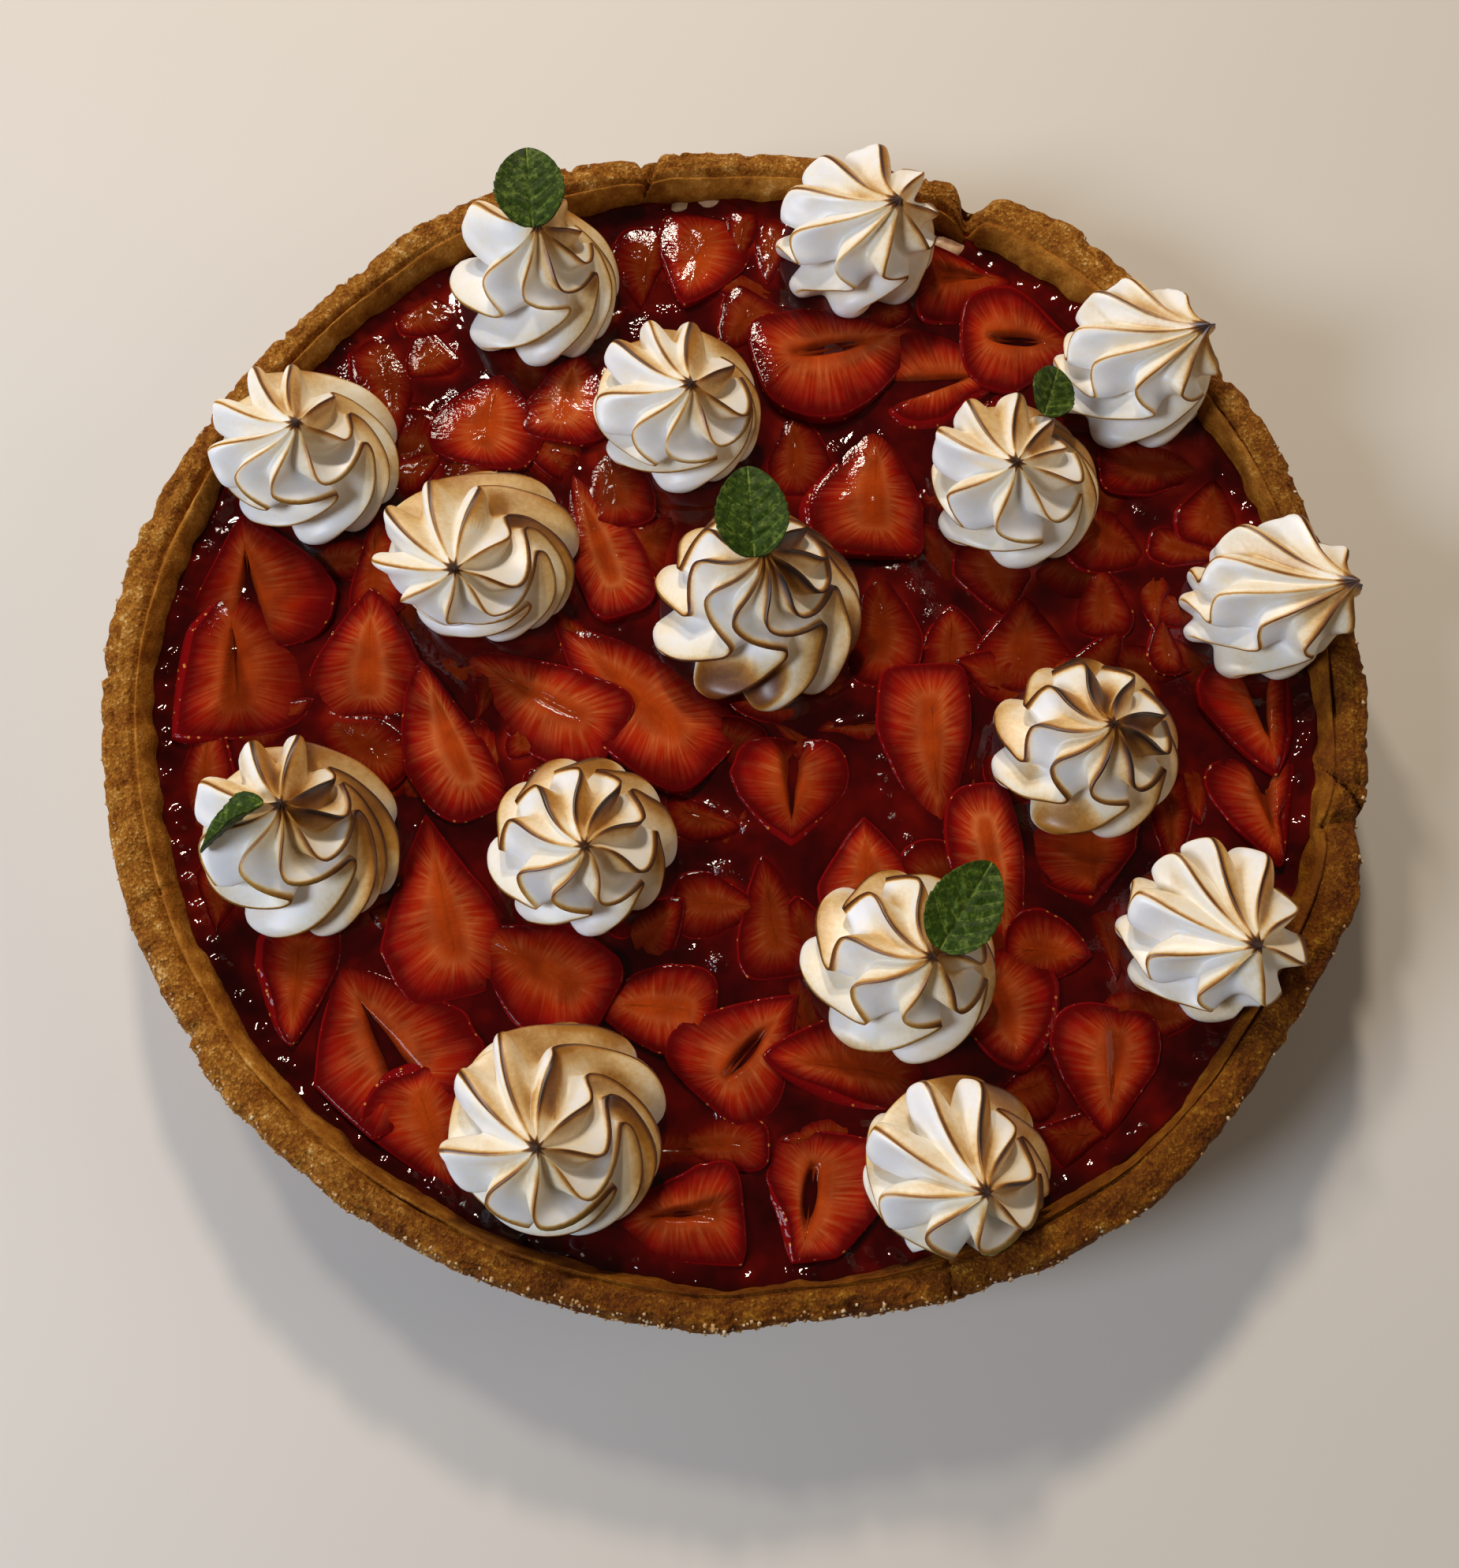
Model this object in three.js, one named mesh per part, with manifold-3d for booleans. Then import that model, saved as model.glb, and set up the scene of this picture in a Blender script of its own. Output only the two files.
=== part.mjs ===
// Strawberry tart with torched meringue: a shortcrust shell filled with pastry cream and
// a set red glaze, cut strawberries in the glaze, sixteen piped meringues and mint leaves.
// Millimetres, +Z up, origin on the table under the middle of the tart.
import * as THREE from 'three';
import { mergeVertices } from 'three/addons/utils/BufferGeometryUtils.js';
import Module from 'manifold-3d';

const wasm = await Module();
wasm.setup();

// Driving dimensions
const rimRadius = 140;
const footRadius = 134;
const rimHeight = 35;
const baseThickness = 5;
const fillingRadius = 129;
const gap = 0.3;
const creamTop = 17;
const jellyTop = 27.9;
const berryTop = 28.4;
const berryFoot = 20.3;
const meringueFoot = berryTop + gap;
const leafThickness = 0.6;

// Shortcrust: where the rim swells or shrinks: angle, half width of the stretch, radius, height
const rimSwells = [
  [57, 9, 3.4, 0.6],
  [67, 1.6, -3.6, -3.2],
  [22, 10, -1.8, -0.4],
  [-13, 2.2, -2.2, -1.4],
  [-20, 6, 1.4, 0.5],
  [-51, 5, 1.4, 0.2],
  [-112, 13, -1.4, 0.3],
  [102, 1.8, -1.0, -1.6],
  [112, 9, 1.6, 0.6],
  [150, 9, -0.8, -0.7],
  [176, 7, 0.9, 0.4],
];

// Shortcrust section, from the table up the outside, over the rim and down the inside.
// A radius is given at the mean rim; the last value says how far it follows the swells.
const crustSection = [
  [footRadius - 1.3, 0, 0.5],
  [footRadius, 1.3, 0.5],
  [rimRadius - 1.2, rimHeight - 9, 0.9],
  [rimRadius, rimHeight - 2.2, 1],
  [rimRadius - 1.4, rimHeight, 1],
  [rimRadius - 4.3, rimHeight + 0.3, 0.8],
  [rimRadius - 5.5, rimHeight - 1.6, 0.6],
  [rimRadius - 6.8, rimHeight - 0.7, 0.5],
  [rimRadius - 8.6, rimHeight - 1.7, 0.3],
  [fillingRadius + 1.3, berryTop, 0.1],
  [fillingRadius + 0.5, baseThickness, 0],
];

// Pastry cream that rises at the edge of the glaze: middle angle, half width in degrees
const creamRises = [[96, 4], [68, 2.6], [-86, 3], [-50, 2.4]];
const creamRiseTop = 28;
const creamRiseWidth = 3.6;

// Strawberry slices with a place of their own: shoulder x, y, tip x, y, greatest width
const berrySlices = [
  [-12, 125, -16, 100, 22],
  [42, 110, 65, 110, 28],
  [53, 92, 81, 92, 28],
  [3, 83, 41, 94, 29],
  [34, 76, 63, 83, 25],
  [31, 33, 31, 67, 27],
  [-46, 60, -42, 84, 20],
  [-64, 53, -60, 76, 26],
  [-27, 16, -41, 51, 16],
  [-111, -17, -118, 16, 33],
  [-111, 4, -117, 35, 32],
  [-83, -13, -85, 17, 24],
  [-85, 13, -86, 38, 13],
  [-56, -33, -72, 1, 18],
  [-28, -15, -62, 3, 21],
  [-6, -20, -41, 11, 25],
  [13, -15, 13, -39, 24],
  [43, 3, 46, -34, 20],
  [54, -25, 61, -61, 15],
  [118, 9, 121, -18, 25],
  [118, -15, 120, -39, 24],
  [79, -29, 79, -50, 27],
  [60, -60, 77, -61, 16],
  [55, -62, 63, -86, 23],
  [84, -73, 80, -98, 22],
  [30, -54, 29, -33, 22],
  [-56, -73, -67, -37, 25],
  [-92, -60, -91, -86, 17],
  [-63, -98, -82, -70, 33],
  [-65, -90, -55, -115, 21],
  [-26, -75, -56, -60, 22],
  [-3, -76, -27, -75, 18],
  [-3, -94, 14, -73, 25],
  [42, -89, 9, -85, 19],
  [4, -116, -20, -119, 21],
  [20, -101, 17, -128, 26],
];

// Smaller or half sunk slices that are one body with the glaze, given the same way
const sunkSlices = [
  [-26, 119, -27, 98, 12],
  [2, 101, -6, 88, 14],
  [-2, 126, -4, 111, 7],
  [5, 124, 4, 108, 8],
  [12, 49, 11, 69, 13],
  [-78, 98, -85, 88, 14],
  [-74, 84, -82, 76, 12],
  [-91, 87, -84, 62, 14],
  [-82, 47, -73, 55, 9],
  [-42, 52, -53, 57, 9],
  [-29, 39, -34, 61, 15],
  [-29, 25, -17, 41, 15],
  [-117, -42, -118, -14, 12],
  [-75, -25, -93, -12, 14],
  [-47, -20, -49, -12, 7],
  [33, 2, 32, 27, 15],
  [48, 2, 49, 19, 13],
  [64, 1, 66, 22, 20],
  [58, 36, 62, 19, 17],
  [80, 43, 94, 35, 15],
  [97, 38, 112, 35, 9],
  [87, 58, 111, 58, 15],
  [109, 39, 112, 55, 15],
  [84, 15, 84, 31, 12],
  [97, -20, 97, -40, 9],
  [86, -75, 100, -73, 11],
  [11, -66, 7, -43, 14],
  [-11, -52, 6, -53, 13],
  [-14, -31, 1, -35, 8],
  [8, -103, -11, -104, 10],
  [69, -88, 57, -92, 10],
  [80, -101, 67, -98, 13],
  [99, 6, 98, 20, 7],
  [-110, -48, -113, -64, 10],
  [-72, -58, -78, -57, 6],
];

// Piped meringues: x, y, radius, height, middle of the upper tier, peak (both from x, y),
// size of the upper tier, kink under it, how much the kink grows towards the front,
// sweep down to the foot, directions of the ridges
const meringues = [
  [-53, 99.5, 22, 27, 1, -1, 3, 1, 0.62, 40, 0.8, 95, [150, 115, 80, 40, 0, -45, -90, -140]],
  [25, 115.5, 21, 26, 4, -3, 9, -4, 0.8, 30, 0.4, 45, [170, 135, 100, 60, 20, -25, -75, -115, -155]],
  [91.5, 79.5, 19.5, 27, 5, 0, 12.5, 0, 0.75, 35, 0.6, 80, [178, 150, 125, 85, 40, -20, -70, -115, -155]],
  [-16.5, 66, 21.5, 25, 3, -5, 4, -5, 0.68, 45, 0.9, 105, [150, 127, 105, 57, -5, -55, -105, -140, -172]],
  [-101.5, 50, 22.5, 26, -2, -4, 2.5, -3, 0.62, 45, 0.9, 110, [160, 130, 108, 65, 14, -45, -95, -135, -165]],
  [-58.4, 27, 23, 25, -4, -11, -3.1, -14, 0.66, 50, 0.9, 112, [152, 125, 95, 50, -5, -45, -90, -140, -175]],
  [3.5, 15.5, 25.5, 29, 1, 2, 1, 3, 0.62, 42, 0.15, 55, [150, 110, 70, 30, -10, -50, -90, -130, -170]],
  [63, 49, 21, 25, -2, -4, -3, -5, 0.72, 38, 0.7, 90, [160, 130, 100, 72, 45, 5, -45, -100, -150]],
  [118, 20, 18.5, 26, 7, -1, 14.5, -2.5, 0.8, 25, 0.4, 45, [170, 140, 105, 60, 10, -40, -90, -130, -165]],
  [77.5, -15, 22, 25, 1, -1, 1.5, -1.5, 0.72, 30, 0.3, 45, [150, 110, 70, 25, -20, -65, -110, -150]],
  [-92.5, -43, 23, 25, -1, 0, 0.5, 2.5, 0.6, 50, 0.8, 110, [165, 130, 100, 60, 15, -35, -80, -125, -160]],
  [-32.5, -41.5, 21.5, 25, 1, -3, 3, -6, 0.68, 34, 0.3, 50, [150, 115, 80, 40, -5, -55, -105, -165]],
  [36, -65, 22, 25, 2, -1, 5, -2.5, 0.66, 36, 0.3, 65, [145, 105, 60, 15, -30, -80, -130, -170]],
  [101.5, -56, 20, 25, 3, -4, 4.5, -7, 0.78, 28, 0.4, 50, [165, 135, 110, 80, 40, -10, -65, -120, -160]],
  [-33, -101, 23.5, 25, -3, -7, -2, -6, 0.62, 45, 0.9, 112, [150, 125, 95, 55, 10, -35, -80, -130, -172]],
  [48, -107, 20.5, 25, 1, -4, 3, -5.5, 0.66, 40, 0.7, 90, [160, 130, 95, 60, 20, -30, -80, -125, -165]],
];

// A meringue from its foot to just under the peak: part of the height, part of the
// tier's size, part of the foot's size, part of the twist, of the kink and of the sweep,
// depth of the valleys as a part of the radius
const meringueRings = [
  [0.00, 0.00, 0.82, 1, 1, 1.00, 0.14],
  [0.10, 0.00, 0.96, 1, 1, 0.95, 0.18],
  [0.27, 0.05, 0.94, 1, 1, 0.76, 0.24],
  [0.40, 0.45, 0.50, 1, 1, 0.36, 0.26],
  [0.505, 0.80, 0.19, 1, 0.84, 0.03, 0.28],
  [0.66, 0.97, 0.00, 0.95, 0.14, 0, 0.32],
  [0.80, 0.52, 0.00, 0.40, 0, 0, 0.38],
];
const twist = 14;
const kinkSide = -75;
const tierSide = 140;
const valleyPlace = 0.58;

// Mint leaves: x, y, z of the stalk end, heading, rise, roll in degrees, length, width, curl
const leaves = [
  [-50.4, 101.6, 55.0, 98, 12, 0, 22, 16, 2.2],
  [3.6, 19.8, 57.0, 96, 10, 0, 21, 15.5, 2.0],
  [68, 60.5, 45.9, 72, -6, 20, 15, 11, 1.4],
  [-95.5, -41, 54.7, 204, -24, 40, 19, 9, 2.6],
  [42, -66, 52.5, 60, 8, 0, 21, 14.5, 1.8],
];

// Colours, as the eye sees them
const crustFinish = new THREE.MeshStandardMaterial({ color: 0xa9713a, roughness: 0.85, metalness: 0 });
const creamFinish = new THREE.MeshStandardMaterial({ color: 0xe9d6b0, roughness: 0.5, metalness: 0 });
const jellyFinish = new THREE.MeshStandardMaterial({ color: 0x5c0f0c, roughness: 0.12, metalness: 0 });
const berryFinish = new THREE.MeshStandardMaterial({ color: 0xb3271a, roughness: 0.3, metalness: 0 });
const meringueFinish = new THREE.MeshStandardMaterial({ color: 0xefe6d6, roughness: 0.45, metalness: 0 });
const leafFinish = new THREE.MeshStandardMaterial({ color: 0x2f5a22, roughness: 0.6, metalness: 0 });

const tart = new THREE.Group();

const radians = (degrees) => degrees * Math.PI / 180;

// Degrees from one angle to another, the short way round
function turnBetween(from, to) {
  return ((to - from + 540) % 360) - 180;
}

// Closed body through rings of equally many points, with a middle point at each end
function bodyFromRings(rings, firstPoint, lastPoint) {
  const around = rings[0].length;
  const positions = [...rings.flat(2), ...firstPoint, ...lastPoint];
  const first = rings.length * around;
  const last = first + 1;
  const faces = [];
  for (let j = 0; j < around; j++) {
    const next = (j + 1) % around;
    faces.push(first, next, j);
    for (let i = 0; i + 1 < rings.length; i++) {
      const low = i * around;
      const high = low + around;
      faces.push(low + j, low + next, high + next);
      faces.push(low + j, high + next, high + j);
    }
    const top = (rings.length - 1) * around;
    faces.push(last, top + j, top + next);
  }
  const geometry = new THREE.BufferGeometry();
  geometry.setAttribute('position', new THREE.Float32BufferAttribute(positions, 3));
  geometry.setIndex(faces);
  return geometry;
}

function toSolid(geometry) {
  const bare = geometry.clone();
  bare.deleteAttribute('normal');
  bare.deleteAttribute('uv');
  const merged = mergeVertices(bare, 1e-4);
  return new wasm.Manifold(new wasm.Mesh({
    numProp: 3,
    vertProperties: new Float32Array(merged.attributes.position.array),
    triVerts: new Uint32Array(merged.index.array),
  }));
}

function toGeometry(solid) {
  const mesh = solid.getMesh();
  const geometry = new THREE.BufferGeometry();
  geometry.setAttribute('position', new THREE.Float32BufferAttribute(mesh.vertProperties, 3));
  geometry.setIndex(Array.from(mesh.triVerts));
  return geometry;
}

function addPiece(name, geometry, material) {
  geometry.computeVertexNormals();
  const mesh = new THREE.Mesh(geometry, material);
  mesh.name = name;
  tart.add(mesh);
  return mesh;
}

const numbered = (word, index) => `${word}_${String(index + 1).padStart(2, '0')}`;

// Shortcrust shell, with closer columns where the rim is broken
function crust() {
  const angles = [];
  for (let angle = -180; angle < 180; angle += 5.625) {
    angles.push(angle);
  }
  for (const broken of [64.6, 66.2, 69.4, 101, 103.4, -15.2, -13.4, -10]) {
    angles.push(broken);
  }
  angles.sort((a, b) => a - b);
  const swell = (angle, column) => rimSwells.reduce((sum, row) => {
    const away = turnBetween(row[0], angle) / row[1];
    return sum + row[column] * Math.exp(-away * away);
  }, 0);
  const crumble = (angle, level) => 0.35 * Math.sin(radians(angle * 23))
    + 0.2 * Math.sin(radians(angle * 41 + 70 * level));
  const rimLevel = crustSection.findIndex((row) => row[0] === rimRadius);
  const rim = new THREE.Box2().setFromPoints(angles.map((angle) => {
    const r = rimRadius + swell(angle, 2) + crumble(angle, rimLevel);
    return new THREE.Vector2(r * Math.cos(radians(angle)), r * Math.sin(radians(angle)));
  }));
  const middle = rim.getCenter(new THREE.Vector2());
  const rings = crustSection.map(([radius, height, share], level) => angles.map((angle) => {
    const r = radius + share * (swell(angle, 2) + crumble(angle, level));
    const lift = height > rimHeight - 4 ? share * (swell(angle, 3) + 0.5 * crumble(angle, level)) : 0;
    const x = r * Math.cos(radians(angle)) - share * middle.x;
    const y = r * Math.sin(radians(angle)) - share * middle.y;
    return [x, y, height + lift];
  }));
  return bodyFromRings(rings, [0, 0, 0], [0, 0, baseThickness]);
}

// Upright piece of the ring at the edge of the filling
function edgePiece([middle, half], radius, width, low, high) {
  const outline = new THREE.Shape();
  outline.absarc(0, 0, radius, radians(middle - half), radians(middle + half), false);
  outline.absarc(0, 0, radius - width, radians(middle + half), radians(middle - half), true);
  const piece = new THREE.ExtrudeGeometry(outline, { depth: high - low, bevelEnabled: false, curveSegments: 1 });
  piece.translate(0, 0, low);
  return toSolid(piece);
}

// Room that the glaze and the slices leave round the raised cream
function creamRooms() {
  return creamRises.map(([middle, half]) => {
    const wide = [middle, half + 0.3];
    return edgePiece(wide, fillingRadius + 1, creamRiseWidth + 2, creamTop - 1, creamRiseTop + 2);
  });
}

function fillingDisc(low, high) {
  const disc = new THREE.CylinderGeometry(fillingRadius, fillingRadius, high - low, 60);
  disc.rotateX(Math.PI / 2);
  disc.translate(0, 0, (low + high) / 2);
  return toSolid(disc);
}

function cream() {
  let body = fillingDisc(baseThickness + gap, creamTop);
  for (const rise of creamRises) {
    body = body.add(edgePiece(rise, fillingRadius - 0.5, creamRiseWidth, creamTop - 2, creamRiseTop));
  }
  return toGeometry(body);
}

// Part of the greatest width at a place between the shoulder (0) and the tip (1)
function sliceWidth(along) {
  const away = 2 * Math.pow(along, 0.75) - 1;
  const bluntness = away < 0 ? 2.6 : 1.8;
  return Math.pow(1 - Math.pow(Math.abs(away), bluntness), 1 / bluntness);
}

// Outline of a slice, blunt at the shoulder and narrower at the tip, kept inside the wall
function sliceOutline([shoulderX, shoulderY, tipX, tipY, width], grow) {
  const length = Math.hypot(tipX - shoulderX, tipY - shoulderY);
  const alongX = (tipX - shoulderX) / length;
  const alongY = (tipY - shoulderY) / length;
  const outline = [];
  const steps = 10;
  for (let k = 0; k < steps; k++) {
    const turn = 2 * Math.PI * k / steps;
    const along = 0.5 - 0.5 * Math.cos(turn);
    const half = (width / 2 + grow) * sliceWidth(along);
    const forward = along * (length + 2 * grow) - grow;
    const side = turn < Math.PI ? -half : half;
    const x = shoulderX + alongX * forward - alongY * side;
    const y = shoulderY + alongY * forward + alongX * side;
    const pull = Math.min(1, (fillingRadius - 1.6 + grow) / Math.hypot(x, y));
    outline.push([x * pull, y * pull]);
  }
  return outline;
}

function sliceBody(slice, grow, low, high, footShare, topShare) {
  const outline = sliceOutline(slice, grow);
  const middle = [0, 1].map((axis) => outline.reduce((sum, point) => sum + point[axis], 0) / outline.length);
  const ring = (share, z) => outline.map(([x, y]) => [
    middle[0] + share * (x - middle[0]), middle[1] + share * (y - middle[1]), z,
  ]);
  const levels = footShare < 1 || topShare < 1
    ? [ring(footShare, low), ring(1, low + 0.65 * (high - low)), ring(topShare, high)]
    : [ring(1, low), ring(1, high)];
  return toSolid(bodyFromRings(levels, [...middle, low], [...middle, high]));
}

const slicePocket = (slice) => sliceBody(slice, gap + 0.05, berryFoot - gap, berryTop + 4, 1, 1);

// Slices that lap each other: the one listed first is whole
function slice(index) {
  let body = sliceBody(berrySlices[index], 0, berryFoot, berryTop, 0.8, 0.94);
  for (let before = 0; before < index; before++) {
    body = body.subtract(slicePocket(berrySlices[before]));
  }
  for (const room of creamRooms()) {
    body = body.subtract(room);
  }
  return toGeometry(body.decompose().reduce((a, b) => (a.volume() > b.volume() ? a : b)));
}

function jelly() {
  let body = fillingDisc(creamTop + gap, jellyTop);
  for (const sunk of sunkSlices) {
    body = body.add(sliceBody(sunk, 0, jellyTop - 3, berryTop, 0.98, 0.94));
  }
  for (const own of berrySlices) {
    body = body.subtract(slicePocket(own));
  }
  for (const room of creamRooms()) {
    body = body.subtract(room);
  }
  return toGeometry(body.decompose().reduce((a, b) => (a.volume() > b.volume() ? a : b)));
}

// Values of the meringue's rings at any part of its height
function ringAt(high) {
  const after = Math.max(1, meringueRings.findIndex((row) => row[0] >= high));
  const [low, top] = [meringueRings[after - 1], meringueRings[after]];
  const share = (high - low[0]) / (top[0] - low[0]);
  return low.map((value, k) => value + share * (top[k] - value));
}

const easeBetween = (low, high, value) => THREE.MathUtils.smoothstep(value, low, high);

// Meringue: a ridged form whose ridges run down from the peak, kink under the upper tier
// and sweep round to the foot. Where it stands over the rim of the crust its foot is
// pressed against the wall and the part above lies on the rim.
function meringue([x, y, radius, height, tierX, tierY, peakX, peakY, cap, kink, growth, sweep, directions]) {
  const wall = fillingRadius + 0.5;
  const rimClear = rimHeight + 1.6;
  const overRim = Math.hypot(x, y) + radius > wall;
  const levels = meringueRings.map((row) => row[0]);
  if (overRim) {
    const clear = (rimClear - meringueFoot) / height;
    levels.splice(2, 1, clear - 0.2 / height, clear);
  }
  const rings = levels.map((high) => {
    const [, tierShare, footShare, twisted, kinked, swept, depth] = ringAt(high);
    const z = meringueFoot + high * height;
    const toTier = easeBetween(0.2, 0.66, high);
    const toPeak = Math.max(0, (high - 0.66) / 0.34);
    const centreX = x + tierX * toTier + (peakX - tierX) * toPeak;
    const centreY = y + tierY * toTier + (peakY - tierY) * toPeak;
    const crests = directions.map((direction) => {
      const facing = Math.max(0, Math.cos(radians(direction - tierSide)));
      const kinkHere = kink * (1 + growth * Math.cos(radians(direction - twist - kinkSide)));
      const angle = direction - twist * twisted + kinkHere * kinked - sweep * (1 - 0.4 * facing) * swept;
      const share = cap * (1 + 0.65 * facing) * tierShare + (1 - 0.06 * facing) * footShare;
      return [angle, share];
    });
    const ring = [];
    crests.forEach(([angle, share], k) => {
      const last = k === crests.length - 1;
      const [nextAngle, nextShare] = crests[(k + 1) % crests.length];
      const span = angle - nextAngle + (last ? 360 : 0);
      ring.push([angle, share]);
      ring.push([angle - valleyPlace * span, (share + nextShare) / 2 * (1 - depth)]);
    });
    const points = ring.map(([angle, share]) => {
      let px = centreX + radius * share * Math.cos(radians(angle));
      let py = centreY + radius * share * Math.sin(radians(angle));
      if (high < 0.7) {
        const away = Math.hypot(px - x, py - y);
        const inside = Math.min(1, softReach(away, radius) / away);
        px = x + (px - x) * inside;
        py = y + (py - y) * inside;
      }
      const reach = z < rimClear ? wall : rimRadius - 3;
      const pull = Math.min(1, reach / Math.hypot(px, py));
      return [px * pull, py * pull, z];
    });
    return points.reverse();
  });
  const inward = Math.min(1, (wall - 4) / Math.hypot(x, y));
  const foot = [x * inward, y * inward, meringueFoot];
  return bodyFromRings(rings, foot, [x + peakX, y + peakY, meringueFoot + height]);
}

// Distance from the middle, rounded off where it would pass the radius
function softReach(away, radius) {
  const free = 0.86 * radius;
  const rest = 0.14 * radius;
  return away < free ? away : free + rest * (1 - Math.exp((free - away) / rest));
}

// Mint leaf: a thin wavy blade, stalk end at the origin, along +X
function leaf(length, width, curl) {
  const along = 5;
  const across = 4;
  const face = (side) => {
    const rows = [];
    for (let i = 0; i <= along; i++) {
      const part = 0.04 + 0.92 * i / along;
      const half = width / 2 * Math.pow(Math.sin(Math.PI * Math.pow(part, 0.85)), 0.75);
      for (let j = 0; j <= across; j++) {
        const out = 2 * j / across - 1;
        const wave = 0.5 * Math.sin(9 * part) * out * out;
        const z = curl * out * out - curl * part * part + wave + side * leafThickness / 2;
        rows.push([length * part, half * out, z]);
      }
    }
    return rows;
  };
  const top = face(1);
  const bottom = face(-1);
  const count = top.length;
  const faces = [];
  const row = across + 1;
  const quad = (a, b, c, d) => faces.push(a, b, c, a, c, d);
  for (let i = 0; i < along; i++) {
    for (let j = 0; j < across; j++) {
      const at = i * row + j;
      quad(at, at + row, at + row + 1, at + 1);
      faces.push(count + at, count + at + row + 1, count + at + row);
      faces.push(count + at, count + at + 1, count + at + row + 1);
    }
    quad(i * row, count + i * row, count + (i + 1) * row, (i + 1) * row);
    const edge = i * row + across;
    quad(edge, edge + row, count + edge + row, count + edge);
  }
  for (let j = 0; j < across; j++) {
    quad(j, j + 1, count + j + 1, count + j);
    const end = along * row + j;
    quad(end, count + end, count + end + 1, end + 1);
  }
  const geometry = new THREE.BufferGeometry();
  geometry.setAttribute('position', new THREE.Float32BufferAttribute([...top, ...bottom].flat(), 3));
  geometry.setIndex(faces);
  return geometry;
}

addPiece('crust', crust(), crustFinish);
addPiece('cream', cream(), creamFinish);
addPiece('jelly', jelly(), jellyFinish);
berrySlices.forEach((row, index) => {
  addPiece(numbered('strawberry', index), slice(index), berryFinish);
});
meringues.forEach((row, index) => {
  addPiece(numbered('meringue', index), meringue(row), meringueFinish);
});
leaves.forEach(([x, y, z, heading, rise, roll, length, width, curl], index) => {
  const blade = addPiece(numbered('mint_leaf', index), leaf(length, width, curl), leafFinish);
  blade.position.set(x, y, z);
  blade.rotation.set(radians(roll), radians(-rise), radians(heading), 'ZYX');
});

export default tart;
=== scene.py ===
import math

import bpy
import numpy as np
from mathutils import Matrix, Vector


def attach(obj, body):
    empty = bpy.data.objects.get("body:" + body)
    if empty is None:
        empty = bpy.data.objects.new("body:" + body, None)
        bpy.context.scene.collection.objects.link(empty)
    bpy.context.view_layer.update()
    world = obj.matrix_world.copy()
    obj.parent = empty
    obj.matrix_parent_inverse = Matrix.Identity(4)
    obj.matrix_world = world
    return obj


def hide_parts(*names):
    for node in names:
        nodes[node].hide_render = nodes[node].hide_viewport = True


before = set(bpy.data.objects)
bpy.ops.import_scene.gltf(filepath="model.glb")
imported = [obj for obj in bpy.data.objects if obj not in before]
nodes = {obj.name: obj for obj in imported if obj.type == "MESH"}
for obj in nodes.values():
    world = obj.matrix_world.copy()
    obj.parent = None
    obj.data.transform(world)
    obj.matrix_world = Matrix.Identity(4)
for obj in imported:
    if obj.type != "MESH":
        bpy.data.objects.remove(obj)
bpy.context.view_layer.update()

mm = 0.001
print("frame loaded:", len(nodes), "nodes")


# small helpers
def linear(hexColour):
    value = hexColour.lstrip("#")
    parts = [int(value[i:i + 2], 16) / 255 for i in (0, 2, 4)]
    return tuple(p / 12.92 if p <= 0.04045 else ((p + 0.055) / 1.055) ** 2.4 for p in parts) + (1.0,)


def addNode(tree, kind, settings=None, links=None):
    node = tree.nodes.new(kind)
    for name, value in (settings or {}).items():
        if isinstance(name, int) or name in node.inputs:
            node.inputs[name].default_value = value
        else:
            setattr(node, name, value)
    for name, source in (links or {}).items():
        tree.links.new(source, node.inputs[name])
    return node


def perMetre(size):
    # scale of a pattern whose cells or waves are this many millimetres apart
    return 1 / (size * mm)


def newMaterial(name):
    material = bpy.data.materials.new(name)
    material.use_nodes = True
    tree = material.node_tree
    tree.nodes.clear()
    output = tree.nodes.new("ShaderNodeOutputMaterial")
    return material, tree, output


def colourRamp(tree, factor, stops):
    ramp = addNode(tree, "ShaderNodeValToRGB", links={"Fac": factor})
    elements = ramp.color_ramp.elements
    while len(elements) < len(stops):
        elements.new(0.5)
    for element, (place, hexColour) in zip(elements, stops):
        element.position = place
        element.color = linear(hexColour)
    return ramp.outputs["Color"]


def smoothNoise(rng, u, v, cellsU, cellsV, wrap=False):
    # random heights on a lattice, eased between its points; -1 to 1
    lattice = rng.uniform(-1, 1, (cellsU + 1, cellsV + 1))
    if wrap:
        lattice[-1] = lattice[0]
    x = np.clip(u, 0, 1) * cellsU
    y = np.clip(v, 0, 1) * cellsV
    i = np.minimum(x.astype(int), cellsU - 1)
    j = np.minimum(y.astype(int), cellsV - 1)
    a = x - i
    b = y - j
    a = a * a * (3 - 2 * a)
    b = b * b * (3 - 2 * b)
    low = lattice[i, j] * (1 - a) + lattice[i + 1, j] * a
    high = lattice[i, j + 1] * (1 - a) + lattice[i + 1, j + 1] * a
    return low * (1 - b) + high * b


def ease(low, high, value):
    # 0 at low, 1 at high, smooth between them
    t = np.clip((value - low) / (high - low), 0, 1)
    return t * t * (3 - 2 * t)


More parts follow.
